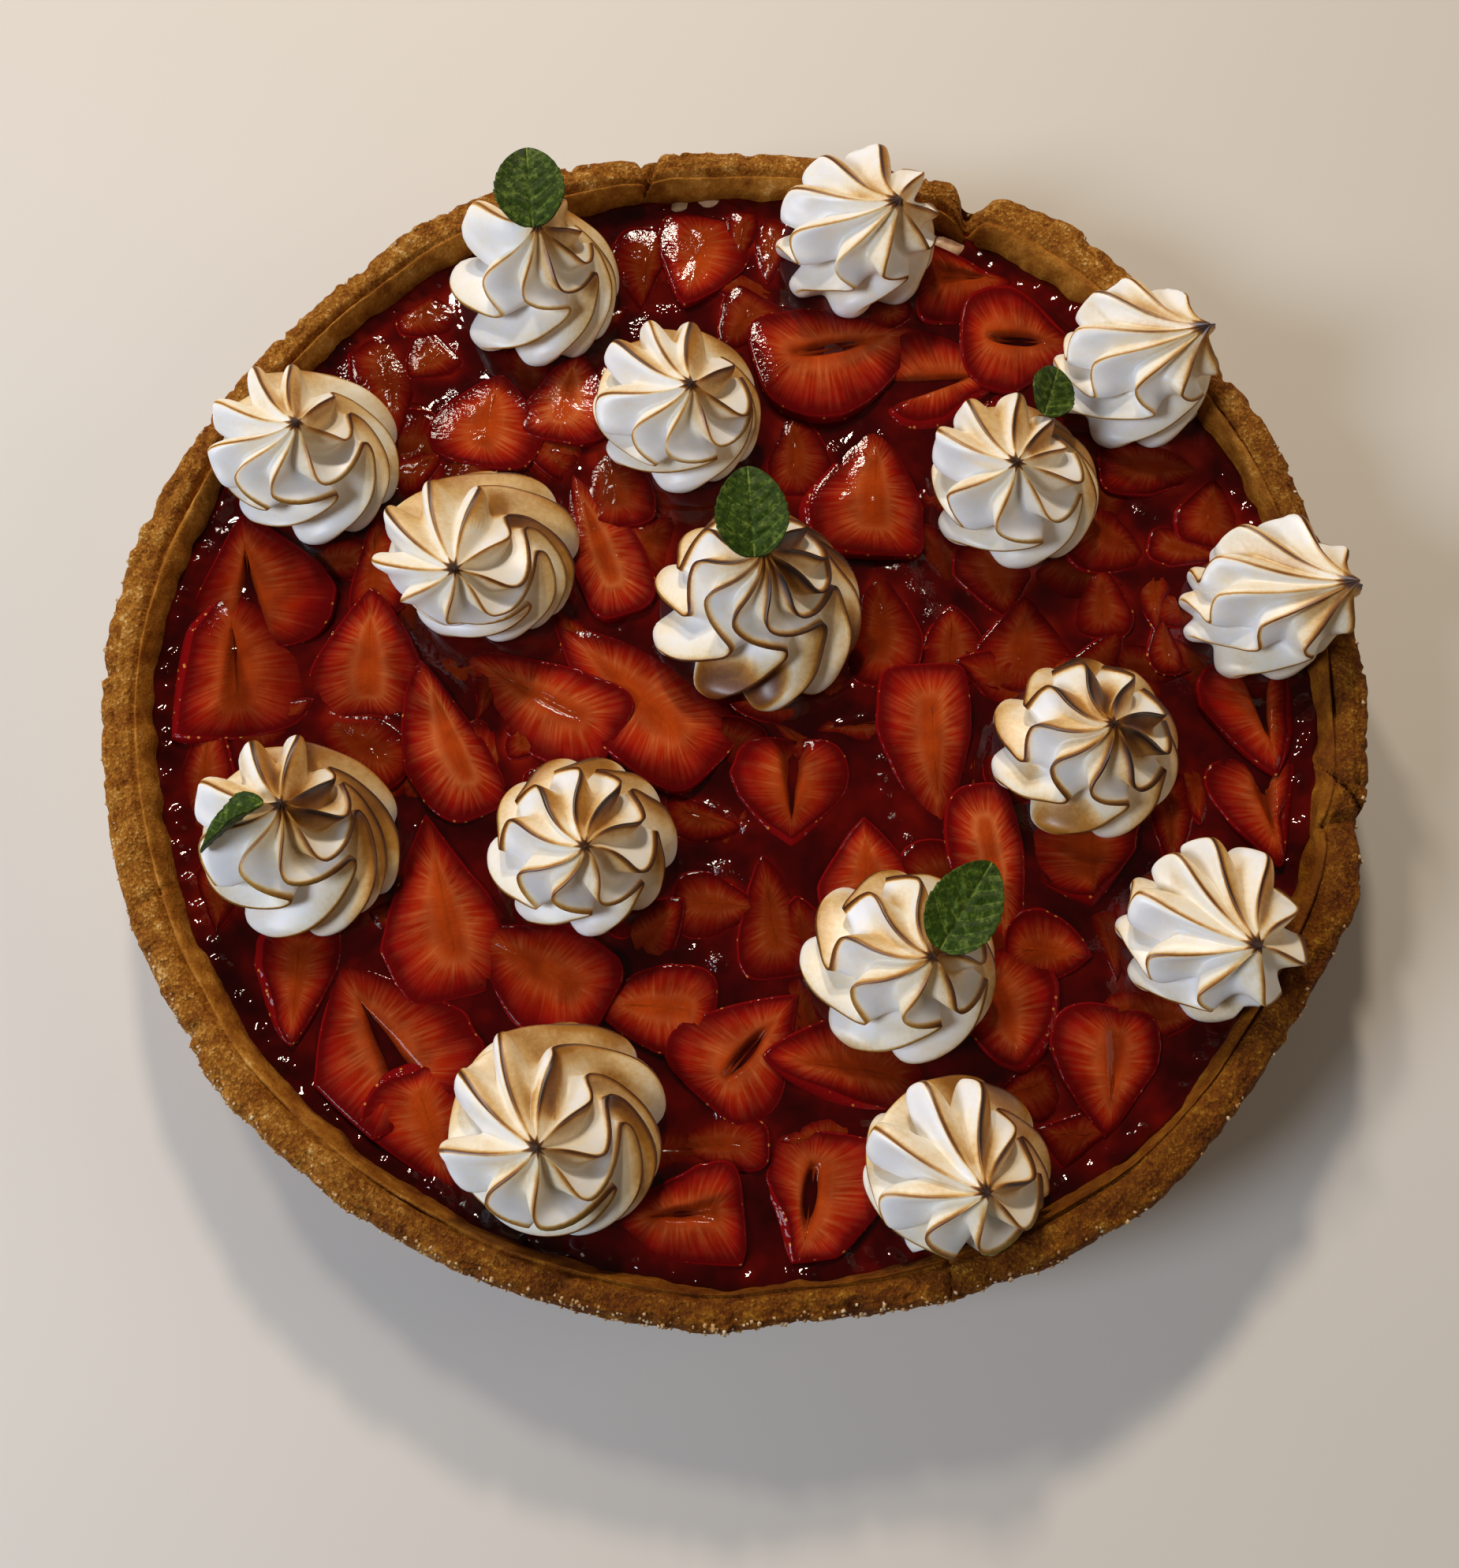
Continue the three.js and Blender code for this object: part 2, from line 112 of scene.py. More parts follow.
def meshPiece(name, points, faces, material, replaced, slotName, floats=None):
    # points in millimetres; faces in groups, each of one number of corners; floats by point
    mesh = bpy.data.meshes.new(name)
    points = np.asarray(points, dtype=np.float32) * mm
    mesh.vertices.add(len(points))
    mesh.vertices.foreach_set("co", points.ravel())
    faces = [np.asarray(f) for f in faces]
    sizes = np.concatenate([np.full(len(f), f.shape[1]) for f in faces])
    corners = np.concatenate([f.ravel() for f in faces])
    mesh.loops.add(len(corners))
    mesh.loops.foreach_set("vertex_index", corners.astype(np.int32))
    mesh.polygons.add(len(sizes))
    starts = np.concatenate([[0], np.cumsum(sizes)[:-1]])
    mesh.polygons.foreach_set("loop_start", starts.astype(np.int32))
    mesh.update(calc_edges=True)
    mesh.polygons.foreach_set("use_smooth", np.full(len(mesh.polygons), True))
    for attribute, values in (floats or {}).items():
        layer = mesh.attributes.new(attribute, "FLOAT", "POINT")
        layer.data.foreach_set("value", np.asarray(values, dtype=np.float32))
    piece = bpy.data.objects.new(name, mesh)
    bpy.context.collection.objects.link(piece)
    mesh.materials.append(material)
    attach(piece, "root")
    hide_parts(replaced)
    return piece


def ringFaces(rows, around):
    # quads between stacked rings, and a fan at the first and the last ring
    i, j = np.meshgrid(np.arange(rows - 1), np.arange(around), indexing="ij")
    n = (j + 1) % around
    quads = np.stack([i * around + j, (i + 1) * around + j, (i + 1) * around + n, i * around + n], axis=-1)
    j = np.arange(around)
    n = (j + 1) % around
    ends = np.full((2, around), [[rows * around], [rows * around + 1]])
    first = np.stack([ends[0], j, n], axis=-1)
    last = np.stack([ends[1], (rows - 1) * around + n, (rows - 1) * around + j], axis=-1)
    return [quads.reshape(-1, 4), first, last]


def curveThrough(keys, places):
    # smooth curve through rows of (place, value, value, ...)
    keys = np.asarray(keys, dtype=float)
    at = keys[:, 0]
    values = keys[:, 1:]
    slopes = np.gradient(values, at, axis=0)
    i = np.clip(np.searchsorted(at, places, side="right") - 1, 0, len(at) - 2)
    width = (at[i + 1] - at[i])[:, None]
    t = ((places - at[i])[:, None]) / width
    return ((2 * t ** 3 - 3 * t ** 2 + 1) * values[i] + (t ** 3 - 2 * t ** 2 + t) * slopes[i] * width
            + (-2 * t ** 3 + 3 * t ** 2) * values[i + 1] + (t ** 3 - t ** 2) * slopes[i + 1] * width)


# camera, standing over the front edge of the tart
cameraPlace = {
    "position": (-1.0, -126.0, 346.1),   # above the middle of the tart's foot
    "tilt": 17.59,                        # degrees away from straight down
    "roll": 2.08,
    "lens": 34.41,                        # on a 36 mm high picture
}


def addCamera():
    camera = bpy.data.objects.new("camera", bpy.data.cameras.new("camera"))
    bpy.context.collection.objects.link(camera)
    tilt = math.radians(cameraPlace["tilt"])
    roll = math.radians(cameraPlace["roll"])
    across = np.array((1.0, 0.0, 0.0))
    upward = np.array((0.0, math.cos(tilt), math.sin(tilt)))
    back = np.array((0.0, -math.sin(tilt), math.cos(tilt)))
    right = math.cos(roll) * across + math.sin(roll) * upward
    up = -math.sin(roll) * across + math.cos(roll) * upward
    rows = [[right[i], up[i], back[i], cameraPlace["position"][i] * mm] for i in range(3)]
    camera.matrix_world = Matrix(rows + [[0, 0, 0, 1]])
    camera.data.lens = cameraPlace["lens"]
    camera.data.sensor_width = 36
    camera.data.clip_start = 0.01
    bpy.context.scene.camera = camera


# light: wide cool daylight from the left, two warm lamps behind, weak warm fill from the right
lights = [
    # name, azimuth, elevation, distance in metres, size, power, colour
    ("daylight", 205, 38, 1.2, 0.42, 9.5, "#e3edff"),
    ("lamp", 98, 42, 1.4, 0.13, 8.6, "#fff0dc"),
    ("secondLamp", 122, 46, 1.5, 0.16, 5.6, "#fff2e2"),
    ("fill", 0, 30, 1.3, 0.60, 2.4, "#ffe8d0"),
]
ambient = {"colour": "#efe3d2", "strength": 0.06}


def addLights():
    for name, azimuth, elevation, distance, size, power, colour in lights:
        data = bpy.data.lights.new(name, "AREA")
        data.shape = "DISK"
        data.size = size
        data.energy = power
        data.color = linear(colour)[:3]
        lamp = bpy.data.objects.new(name, data)
        bpy.context.collection.objects.link(lamp)
        a = math.radians(azimuth)
        e = math.radians(elevation)
        away = Vector((math.cos(a) * math.cos(e), math.sin(a) * math.cos(e), math.sin(e)))
        lamp.location = away * distance
        lamp.rotation_euler = away.to_track_quat("Z", "Y").to_euler()
    world = bpy.data.worlds.new("ambient")
    bpy.context.scene.world = world
    world.use_nodes = True
    world.node_tree.nodes["Background"].inputs["Color"].default_value = linear(ambient["colour"])
    world.node_tree.nodes["Background"].inputs["Strength"].default_value = ambient["strength"]


def addFloor():
    # paint, rolled on: matt, with the faintest cloud in its colour
    material, tree, output = newMaterial("pale painted floor")
    grain = addNode(tree, "ShaderNodeTexNoise", {"Scale": perMetre(110), "Detail": 3.0})
    colour = colourRamp(tree, grain.outputs["Fac"], [(0.3, "#d5cfc5"), (0.7, "#dbd6cd")])
    shader = addNode(tree, "ShaderNodeBsdfPrincipled", {"Roughness": 0.7}, {"Base Color": colour})
    tree.links.new(shader.outputs[0], output.inputs[0])
    mesh = bpy.data.meshes.new("floor")
    half = 3.0   # metres
    corners = [(-half, -half, 0), (half, -half, 0), (half, half, 0), (-half, half, 0)]
    mesh.from_pydata(corners, [], [(0, 1, 2, 3)])
    floor = bpy.data.objects.new("floor", mesh)
    mesh.materials.append(material)
    bpy.context.collection.objects.link(floor)


addCamera()
addLights()
addFloor()
bpy.context.scene.view_settings.view_transform = "Standard"
print("camera, lights and floor set")

# shortcrust
crustForm = {
    "rim": 140.0,             # radius of the shell
    "base": 5.0,              # thickness of its floor
    "columns": 1150,          # about 0.8 mm apart at the rim
    # where the rim swells or shrinks: angle, half width in degrees, radius, height
    "swells": [
        (57, 9, 3.4, 0.6), (67, 1.6, -3.6, -3.2), (22, 10, -1.8, -0.4), (-13, 2.2, -2.2, -1.4),
        (-20, 6, 1.4, 0.5), (-51, 5, 1.4, 0.2), (-106, 14, -1.4, 0.3), (-145, 16, 0.6, 0.2),
        (-80, 11, -2.6, 0.2), (102, 1.8, -1.0, -1.6), (88, 5, -1.2, 0), (112, 7, 1.2, 0.6),
        (148, 12, -1.3, -0.7), (176, 7, 0.9, 0.4),
    ],
    # where the inner edge stands further out: angle, half width in degrees, how far
    "inner": [(-47, 14, 2.1), (-88, 12, 1.2), (-178, 7, 1.2)],
    "chips": 130,             # small bits broken off the outer edge
    # cracks across the rim: angle, half width in degrees, depth, slant in degrees
    "cracks": [(101.3, 0.30, 3.0, 1.2), (66.5, 0.8, 4.5, -1.0), (-9.5, 0.3, 2.2, 2.5), (-13, 0.5, 2.4, -1.5),
               (47, 0.35, 1.6, 1.0), (-155, 0.25, 1.2, -1.0), (152, 0.25, 1.2, 1.0), (-70, 0.25, 1.2, 1.0)],
    # from the foot up the outside, over the rim, down the inside: place, out from the rim's
    # radius, height, part of the swells, part of the crumbly relief
    "section": [
        (0.00, -9.0, 0.0, 0.5, 0.0), (0.03, -6.4, 0.9, 0.5, 0.5), (0.10, -4.4, 8.0, 0.7, 0.8),
        (0.26, -0.4, 26.0, 0.9, 1.0), (0.36, 1.0, 32.2, 1.0, 1.1), (0.41, 0.3, 34.4, 1.0, 1.3),
        (0.48, -1.8, 35.4, 0.9, 1.5), (0.54, -4.0, 35.3, 0.8, 1.2), (0.58, -5.6, 34.6, 0.6, 0.8),
        (0.605, -6.3, 33.1, 0.5, 0.4), (0.63, -7.0, 34.0, 0.5, 0.4), (0.68, -8.0, 33.3, 0.3, 0.5),
        (0.72, -8.7, 31.6, 0.3, 0.5), (0.76, -9.2, 29.4, 0.2, 0.6), (0.80, -9.7, 26.8, 0.2, 0.4),
        (1.00, -10.5, 5.0, 0.0, 0.0),
    ],
    # rings of points along the section: from place, to place, how many
    "rings": [(0.0, 0.30, 16), (0.30, 0.80, 50), (0.80, 1.0, 8)],
    "groove": 0.605,          # place of the line between the outer and the inner strip
}


def degreesFrom(degrees, angle):
    # signed turn from the angle, -180 to 180
    return (degrees - angle + 180) % 360 - 180


def innerEdge(degrees):
    shift = np.zeros_like(degrees)
    for angle, half, out in crustForm["inner"]:
        shift += out * np.exp(-(degreesFrom(degrees, angle) / half) ** 2)
    return shift


def crustPlaces():
    # the last ring stands at the end of the section
    return np.concatenate([np.linspace(start, end, count, endpoint=end == 1.0)
                           for start, end, count in crustForm["rings"]])


def crustSurface():
    rng = np.random.default_rng(3)
    columns = crustForm["columns"]
    places = crustPlaces()
    outward, height, share, crumble = curveThrough(crustForm["section"], places).T
    radius = crustForm["rim"] + outward
    turn = np.linspace(0, 1, columns, endpoint=False)
    degrees = turn * 360 - 180
    swell = np.zeros((2, columns))
    for angle, half, out, lift in crustForm["swells"]:
        away = degreesFrom(degrees, angle) / half
        swell[0] += out * np.exp(-away ** 2)
        swell[1] += lift * np.exp(-away ** 2)
    u, v = np.meshgrid(turn, places)
    coarse = smoothNoise(rng, u, v, 150, 13, wrap=True)
    lumps = smoothNoise(rng, u, v, 330, 30, wrap=True)
    fine = smoothNoise(rng, u, v, 620, 50, wrap=True)
    relief = 0.26 * coarse + 0.20 * lumps + 0.13 * fine
    relief += 0.30 * smoothNoise(rng, u, v, 70, 7, wrap=True)
    relief -= 0.9 * np.clip(smoothNoise(rng, u, v, 520, 40, wrap=True) - 0.55, 0, 1)
    # the whole rim wanders a little, its inner edge more often
    wander = 0.7 * smoothNoise(rng, u, v * 0, 60, 1, wrap=True)
    inner = ease(0.66, 0.74, places)[:, None] * ease(0.92, 0.84, places)[:, None]
    wander = wander + 0.9 * inner * smoothNoise(rng, u, v * 0, 170, 1, wrap=True)
    r = radius[:, None] + share[:, None] * swell[0][None, :]
    r = r + np.maximum(share[:, None], 0.6 * inner) * wander
    r += (ease(0.60, 0.72, places) * ease(1.0, 0.86, places))[:, None] * innerEdge(degrees)[None, :]
    z = height[:, None] + np.where(height > 30, share, 0)[:, None] * swell[1][None, :]
    slopeR = np.gradient(radius)
    slopeZ = np.gradient(height)
    size = np.hypot(slopeR, slopeZ)
    outR = (slopeZ / size)[:, None]
    outZ = (-slopeR / size)[:, None]
    r = r + outR * relief * crumble[:, None]
    z = np.maximum(z + outZ * relief * crumble[:, None], 0)
    # the groove between the strips comes and goes, and so does a crease along the top
    groove = np.exp(-((places - crustForm["groove"]) / 0.03) ** 2)[:, None]
    z += groove * (0.1 + 1.2 * smoothNoise(rng, u, v * 0, 46, 1, wrap=True))
    crease = 0.8 * np.exp(-((places - 0.50) / 0.02) ** 2)[:, None]
    z -= crease * np.clip(smoothNoise(rng, u, v, 90, 3, wrap=True), 0, 1)
    edge = ease(0.30, 0.42, places) * ease(0.56, 0.46, places)
    for angle, half, deep in rng.uniform((-180, 0.2, 0.1), (180, 0.9, 0.9), (crustForm["chips"], 3)):
        away = degreesFrom(degrees, angle) / half
        chip = deep * np.outer(edge, np.exp(-away ** 4))
        r -= chip
        z -= 0.8 * chip
    top = ease(0.33, 0.42, places) * ease(0.80, 0.72, places)
    for angle, half, deep, slant in crustForm["cracks"]:
        away = degreesFrom(degrees[None, :], angle + slant * (places[:, None] - 0.55) / 0.2) / half
        z -= deep * top[:, None] * np.exp(-away ** 2)
    a = np.radians(degrees)
    points = np.stack([r * np.cos(a), r * np.sin(a), z], axis=-1).reshape(-1, 3)
    points = np.vstack([points, [[0, 0, 0], [0, 0, crustForm["base"]]]])
    strip = np.repeat(places, columns)
    hollow = np.concatenate([relief.ravel(), [0, 0]])
    # painted shade: browner at the front right and down the inside wall
    crustShade = ease(-0.1, 0.6, np.cos(a + math.radians(45)))[None, :] * np.ones((len(places), 1))
    crustShade = np.clip(crustShade + 0.8 * ease(0.72, 0.79, places)[:, None], 0, 1)
    floats = {"strip": np.append(strip, [0, 1]), "hollow": hollow,
              "crustShade": np.append(crustShade.ravel(), [0, 0])}
    return points, ringFaces(len(places), columns), floats


def crustMaterial():
    # flour and butter, pressed into a tin and baked: dry and matt, sandy where it is broken,
    # pale on its grains, partly their own tone and partly painted light, with painted shade
    # between the grains and in its hollows
    material, tree, output = newMaterial("baked shortcrust, broken and crumbly")
    place = addNode(tree, "ShaderNodeTexCoord").outputs["Object"]
    hollow = addNode(tree, "ShaderNodeAttribute", {"attribute_name": "hollow"}).outputs["Fac"]
    strip = addNode(tree, "ShaderNodeAttribute", {"attribute_name": "strip"}).outputs["Fac"]
    crustShade = addNode(tree, "ShaderNodeAttribute", {"attribute_name": "crustShade"}).outputs["Fac"]
    # the broken outside shows its grains, the inside was pressed smooth
    rough = addNode(tree, "ShaderNodeMapRange", {
        "From Min": 0.57, "From Max": 0.63, "To Min": 1.0, "To Max": 0.35,
    }, {"Value": strip}).outputs[0]
    # grains of 0.67 mm, browning in patches of 5 mm
    cells = addNode(tree, "ShaderNodeTexVoronoi", {
        "Scale": perMetre(0.67), "feature": "SMOOTH_F1", "Smoothness": 0.5,
    }, {"Vector": place})
    sand = addNode(tree, "ShaderNodeTexNoise", {
        "Scale": perMetre(0.67), "Detail": 4.0, "Roughness": 0.65,
    }, {"Vector": place}).outputs["Fac"]
    bake = addNode(tree, "ShaderNodeTexNoise", {"Scale": perMetre(5), "Detail": 4.0},
                   {"Vector": place}).outputs["Fac"]
    grain = addNode(tree, "ShaderNodeSeparateColor", None, {"Color": cells.outputs["Color"]}).outputs[0]
    grain = addNode(tree, "ShaderNodeMath", {"operation": "MULTIPLY_ADD", 1: 0.5},
                    {0: grain, 2: sand}).outputs[0]
    # darker towards the edge of each grain: painted shade in the gaps between grains
    grain = addNode(tree, "ShaderNodeMath", {"operation": "MULTIPLY_ADD", 1: -0.25},
                    {0: cells.outputs["Distance"], 2: grain}).outputs[0]
    grain = addNode(tree, "ShaderNodeMath", {"operation": "SUBTRACT", 1: 0.64}, {0: grain}).outputs[0]
    grain = addNode(tree, "ShaderNodeMath", {"operation": "MULTIPLY"}, {0: grain, 1: rough}).outputs[0]
    # the lower places of the crumbly relief are browner: painted shade in the hollows
    level = addNode(tree, "ShaderNodeMath", {"operation": "MULTIPLY_ADD", 1: 0.18},
                    {0: hollow, 2: bake}).outputs[0]
    level = addNode(tree, "ShaderNodeMath", {"operation": "MULTIPLY_ADD", 1: 0.7},
                    {0: grain, 2: level}).outputs[0]
    colour = colourRamp(tree, level, [
        (0.08, "#683006"), (0.32, "#8a4e0e"), (0.52, "#a4681c"), (0.70, "#c08536"), (0.92, "#ecc482"),
    ])
    # painted shade: the crust multiplied darker and redder at the front right and down the inside wall
    colour = addNode(tree, "ShaderNodeMix", {
        "data_type": "RGBA", "blend_type": "MULTIPLY", "B": linear("#bcaa60"),
    }, {"Factor": crustShade, "A": colour}).outputs["Result"]
    bump = addNode(tree, "ShaderNodeBump", {"Strength": 1.0, "Distance": 0.0007}, {"Height": grain})
    shader = addNode(tree, "ShaderNodeBsdfPrincipled", {"Roughness": 0.75, "Specular IOR Level": 0.15},
                     {"Base Color": colour, "Normal": bump.outputs["Normal"]})
    tree.links.new(shader.outputs[0], output.inputs[0])
    return material


# sugar and loose crumbs on the outside of the rim
crumbForm = {
    "count": 900,
    "size": (0.35, 0.8),
    "most": -105,            # direction with the most of them
    "spread": 42,            # degrees
    "places": (0.24, 0.46),  # on the section of the crust
}


def crumbGrains(crustPoints):
    rng = np.random.default_rng(31)
    columns = crustForm["columns"]
    places = crustPlaces()
    grid = crustPoints[:-2].reshape(len(places), columns, 3)
    corners = np.array([(i, j, k) for i in (-0.5, 0.5) for j in (-0.5, 0.5) for k in (-0.5, 0.5)])
    sides = np.array([(0, 1, 3, 2), (4, 6, 7, 5), (0, 4, 5, 1), (2, 3, 7, 6), (0, 2, 6, 4), (1, 5, 7, 3)])
    points, faces = [], []
    for i in range(crumbForm["count"]):
        wide = crumbForm["spread"] if i % 4 else 180
        degrees = rng.normal(crumbForm["most"], wide)
        row = np.searchsorted(places, rng.uniform(*crumbForm["places"]), side="right") - 1
        at = grid[row, int((degrees + 180) % 360 / 360 * columns) % columns]
        size = rng.uniform(*crumbForm["size"])
        turn = rng.normal(0, 1, (3, 3))
        axes = np.linalg.qr(turn)[0]
        axes *= np.sign(np.linalg.det(axes))   # turned, never mirrored
        grain = (corners + rng.uniform(-0.16, 0.16, (8, 3))) * size * rng.uniform(0.7, 1.1, 3)
        points.append(at + grain @ axes)
        faces.append(sides + 8 * i)
    return np.vstack(points), [np.vstack(faces)]


def crumbMaterial():
    # sugar and loose crumbs, toasted: every grain has its own tone, from white to brown
    material, tree, output = newMaterial("sugar and crumbs, toasted on the crust")
    place = addNode(tree, "ShaderNodeTexCoord").outputs["Object"]
    tone = addNode(tree, "ShaderNodeTexNoise", {"Scale": perMetre(1.4)}, {"Vector": place}).outputs["Fac"]
    colour = colourRamp(tree, tone, [(0.35, "#9a6424"), (0.5, "#c49a62"), (0.65, "#dcc8a8")])
    shader = addNode(tree, "ShaderNodeBsdfPrincipled", {"Roughness": 0.45}, {"Base Color": colour})
    tree.links.new(shader.outputs[0], output.inputs[0])
    return material


crustLook = crustMaterial()
points, faces, floats = crustSurface()
meshPiece("crustShell", points, faces, crustLook, "crust", "shortcrust", floats)
points, faces = crumbGrains(points)
meshPiece("crustCrumbs", points, faces, crumbMaterial(), "crust", "shortcrust")
print("crust baked")


# pastry cream, hidden but for a few places at the wall
creamForm = {
    "edge": 129.9,
    "foot": 5.3,
    "top": 21.0,
    "columns": 600,
    # where it stands above the glaze: angle, half width in degrees, width inwards, height
    "shows": [(96, 5.0, 3.4, 28.6), (67.5, 2.4, 6.0, 29.0), (-86, 2.6, 8.0, 27.45)],
}


def creamSurface():
    rng = np.random.default_rng(5)
    columns = creamForm["columns"]
    # coarse under the fruit, fine at the wall
    radii = np.concatenate([[30, 70, 100, 112], np.linspace(118, creamForm["edge"], 34)])
    degrees = np.linspace(-180, 180, columns, endpoint=False)
    u, v = np.meshgrid(np.linspace(0, 1, columns, endpoint=False), (radii - 30) / 100)
    lumps = smoothNoise(rng, u, v, 240, 30, wrap=True)
    height = np.full(u.shape, creamForm["top"])
    for angle, half, inwards, top in creamForm["shows"]:
        along = np.abs(degreesFrom(degrees, angle))[None, :] / half + 0.15 * lumps
        deep = (creamForm["edge"] - radii)[:, None] / inwards + 0.25 * lumps
        rise = ease(1.25, 0.6, along) * ease(1.5, 0.3, deep)
        height = np.maximum(height, creamForm["top"] + (top - creamForm["top"]) * rise)
    height += 0.25 * lumps + 0.25 * smoothNoise(rng, u, v, 300, 40, wrap=True)
    a = np.radians(degrees)[None, :]
    points = np.stack([radii[:, None] * np.cos(a), radii[:, None] * np.sin(a), height], axis=-1)
    side = np.column_stack([creamForm["edge"] * np.cos(a[0]), creamForm["edge"] * np.sin(a[0]),
                            np.full(columns, creamForm["foot"])])
    ends = [[0, 0, creamForm["top"]], [0, 0, creamForm["foot"]]]
    return np.vstack([points.reshape(-1, 3), side, ends]), ringFaces(len(radii) + 1, columns)


def creamMaterial():
    # milk, egg and starch, boiled and left to set: soft lumps, half matt, stained by the glaze
    material, tree, output = newMaterial("pastry cream, set and matt")
    place = addNode(tree, "ShaderNodeTexCoord")
    cloud = addNode(tree, "ShaderNodeTexNoise", {"Scale": perMetre(3.8), "Detail": 3.0},
                    {"Vector": place.outputs["Object"]})
    colour = colourRamp(tree, cloud.outputs["Fac"], [(0.3, "#bc8058"), (0.5, "#d6ae88"), (0.7, "#e4ceaa")])
    bump = addNode(tree, "ShaderNodeBump", {"Strength": 0.5, "Distance": 0.0006},
                   {"Height": cloud.outputs["Fac"]})
    shader = addNode(tree, "ShaderNodeBsdfPrincipled", {"Roughness": 0.45},
                     {"Base Color": colour, "Normal": bump.outputs["Normal"]})
    tree.links.new(shader.outputs[0], output.inputs[0])
    return material


points, faces = creamSurface()
meshPiece("creamFill", points, faces, creamMaterial(), "cream", "pastry_cream")
print("cream spread")

# strawberries: shoulder x, y, tip x, y, width, brightness, paleness of the core, hollow in
# the core, how far the hollow opens to the shoulder, direction in which the seeded skin shows
berrySlices = [
    (-12, 125, -16, 100, 22, 0.95, 0.2, 0.0, 0.0, None), (42, 110, 65, 110, 28, 0.70, 0.1, 0.5, 1.0, 60),
    (53, 92, 81, 92, 28, 0.85, 0.3, 1.0, 0.0, 50), (3, 83, 41, 94, 29, 0.95, 0.5, 0.8, 0.0, None),
    (34, 76, 63, 83, 25, 0.85, 0.3, 0.9, 1.0, -80), (31, 33, 31, 67, 27, 1.00, 0.6, 0.0, 0.0, 180),
    (-46, 60, -42, 84, 20, 1.00, 0.9, 0.0, 0.0, None), (-64, 53, -60, 76, 26, 0.95, 0.3, 0.0, 0.0, None),
    (-27, 16, -41, 51, 16, 1.00, 1.0, 0.0, 0.0, None), (-111, -17, -118, 16, 33, 0.70, 0.2, 0.9, 0.6, 180),
    (-111, 4, -117, 35, 32, 0.60, 0.2, 0.7, 1.0, None), (-83, -13, -85, 17, 24, 0.85, 0.7, 0.0, 0.0, -90),
    (-85, 13, -86, 38, 13, 0.55, 0.1, 0.0, 0.0, None), (-56, -33, -72, 1, 18, 0.95, 0.9, 0.0, 0.0, None),
    (-28, -15, -62, 3, 21, 0.85, 0.4, 0.2, 0.0, None), (-6, -20, -41, 11, 25, 0.90, 0.4, 0.0, 0.0, None),
    (13, -15, 13, -39, 24, 0.75, 0.2, 0.7, 1.0, -90), (43, 3, 46, -34, 20, 0.90, 0.5, 0.0, 0.0, None),
    (54, -25, 61, -61, 15, 1.00, 1.0, 0.0, 0.0, None), (118, 9, 121, -18, 25, 0.75, 0.2, 0.8, 1.0, 0),
    (118, -15, 120, -39, 24, 0.85, 0.3, 0.5, 1.0, 0), (79, -29, 79, -50, 27, 0.75, 0.2, 0.0, 0.0, -90),
    (60, -60, 77, -61, 16, 0.75, 0.2, 0.0, 0.0, None), (55, -62, 63, -86, 23, 0.85, 0.5, 0.0, 0.0, -30),
    (84, -73, 80, -98, 22, 0.80, 0.4, 0.3, 1.0, None), (30, -54, 29, -33, 22, 0.90, 0.4, 0.0, 0.0, None),
    (-56, -73, -67, -37, 25, 0.95, 0.5, 0.0, 0.0, None), (-92, -60, -91, -86, 17, 0.65, 0.2, 0.0, 0.0, 180),
    (-63, -98, -82, -70, 33, 0.75, 0.5, 0.9, 1.0, None), (-65, -90, -55, -115, 21, 0.80, 0.2, 0.0, 0.0, 120),
    (-26, -75, -56, -60, 22, 0.70, 0.2, 0.0, 0.0, None), (-3, -76, -27, -75, 18, 0.80, 0.4, 0.0, 0.0, None),
    (-3, -94, 14, -73, 25, 0.90, 0.5, 0.8, 0.0, None), (42, -89, 9, -85, 19, 0.60, 0.2, 0.2, 0.0, -100),
    (4, -116, -20, -119, 21, 0.80, 0.3, 1.0, 0.4, None), (20, -101, 17, -128, 26, 0.90, 0.4, 0.9, 0.0, 180),
]
sunkSlices = [
    (-26, 119, -27, 98, 12), (2, 101, -6, 88, 14), (-2, 126, -4, 111, 7), (5, 124, 4, 108, 8),
    (12, 49, 11, 69, 13), (-78, 98, -85, 88, 14), (-74, 84, -82, 76, 12), (-91, 87, -84, 62, 14),
    (-82, 47, -73, 55, 9), (-42, 52, -53, 57, 9), (-29, 39, -34, 61, 15), (-29, 25, -17, 41, 15),
    (-117, -42, -118, -14, 12), (-75, -25, -93, -12, 14), (-47, -20, -49, -12, 7), (33, 2, 32, 27, 15),
    (48, 2, 49, 19, 13), (64, 1, 66, 22, 20), (58, 36, 62, 19, 17), (80, 43, 94, 35, 15),
    (97, 38, 112, 35, 9), (87, 58, 111, 58, 15), (109, 39, 112, 55, 15), (84, 15, 84, 31, 12),
    (97, -20, 97, -40, 9), (86, -75, 100, -73, 11), (11, -66, 7, -43, 14), (-11, -52, 6, -53, 13),
    (-14, -31, 1, -35, 8), (8, -103, -11, -104, 10), (69, -88, 57, -92, 10), (80, -101, 67, -98, 13),
    (99, 6, 98, 20, 7), (-110, -48, -113, -64, 10), (-72, -58, -78, -57, 6),
]
berryForm = {
    "foot": 20.3,
    "top": 28.5,
    "around": 80,
    "rings": 20,             # on the cut face
    "grown": 1.10,           # the slices press against each other
    "cleft": 2.6,            # depth of an open core
    "wall": 127.4,           # how far out a slice may reach
}
sunkForm = {"foot": 23.0, "top": 27.75, "around": 48, "rings": 10, "grown": 1.22, "tone": 0.42}
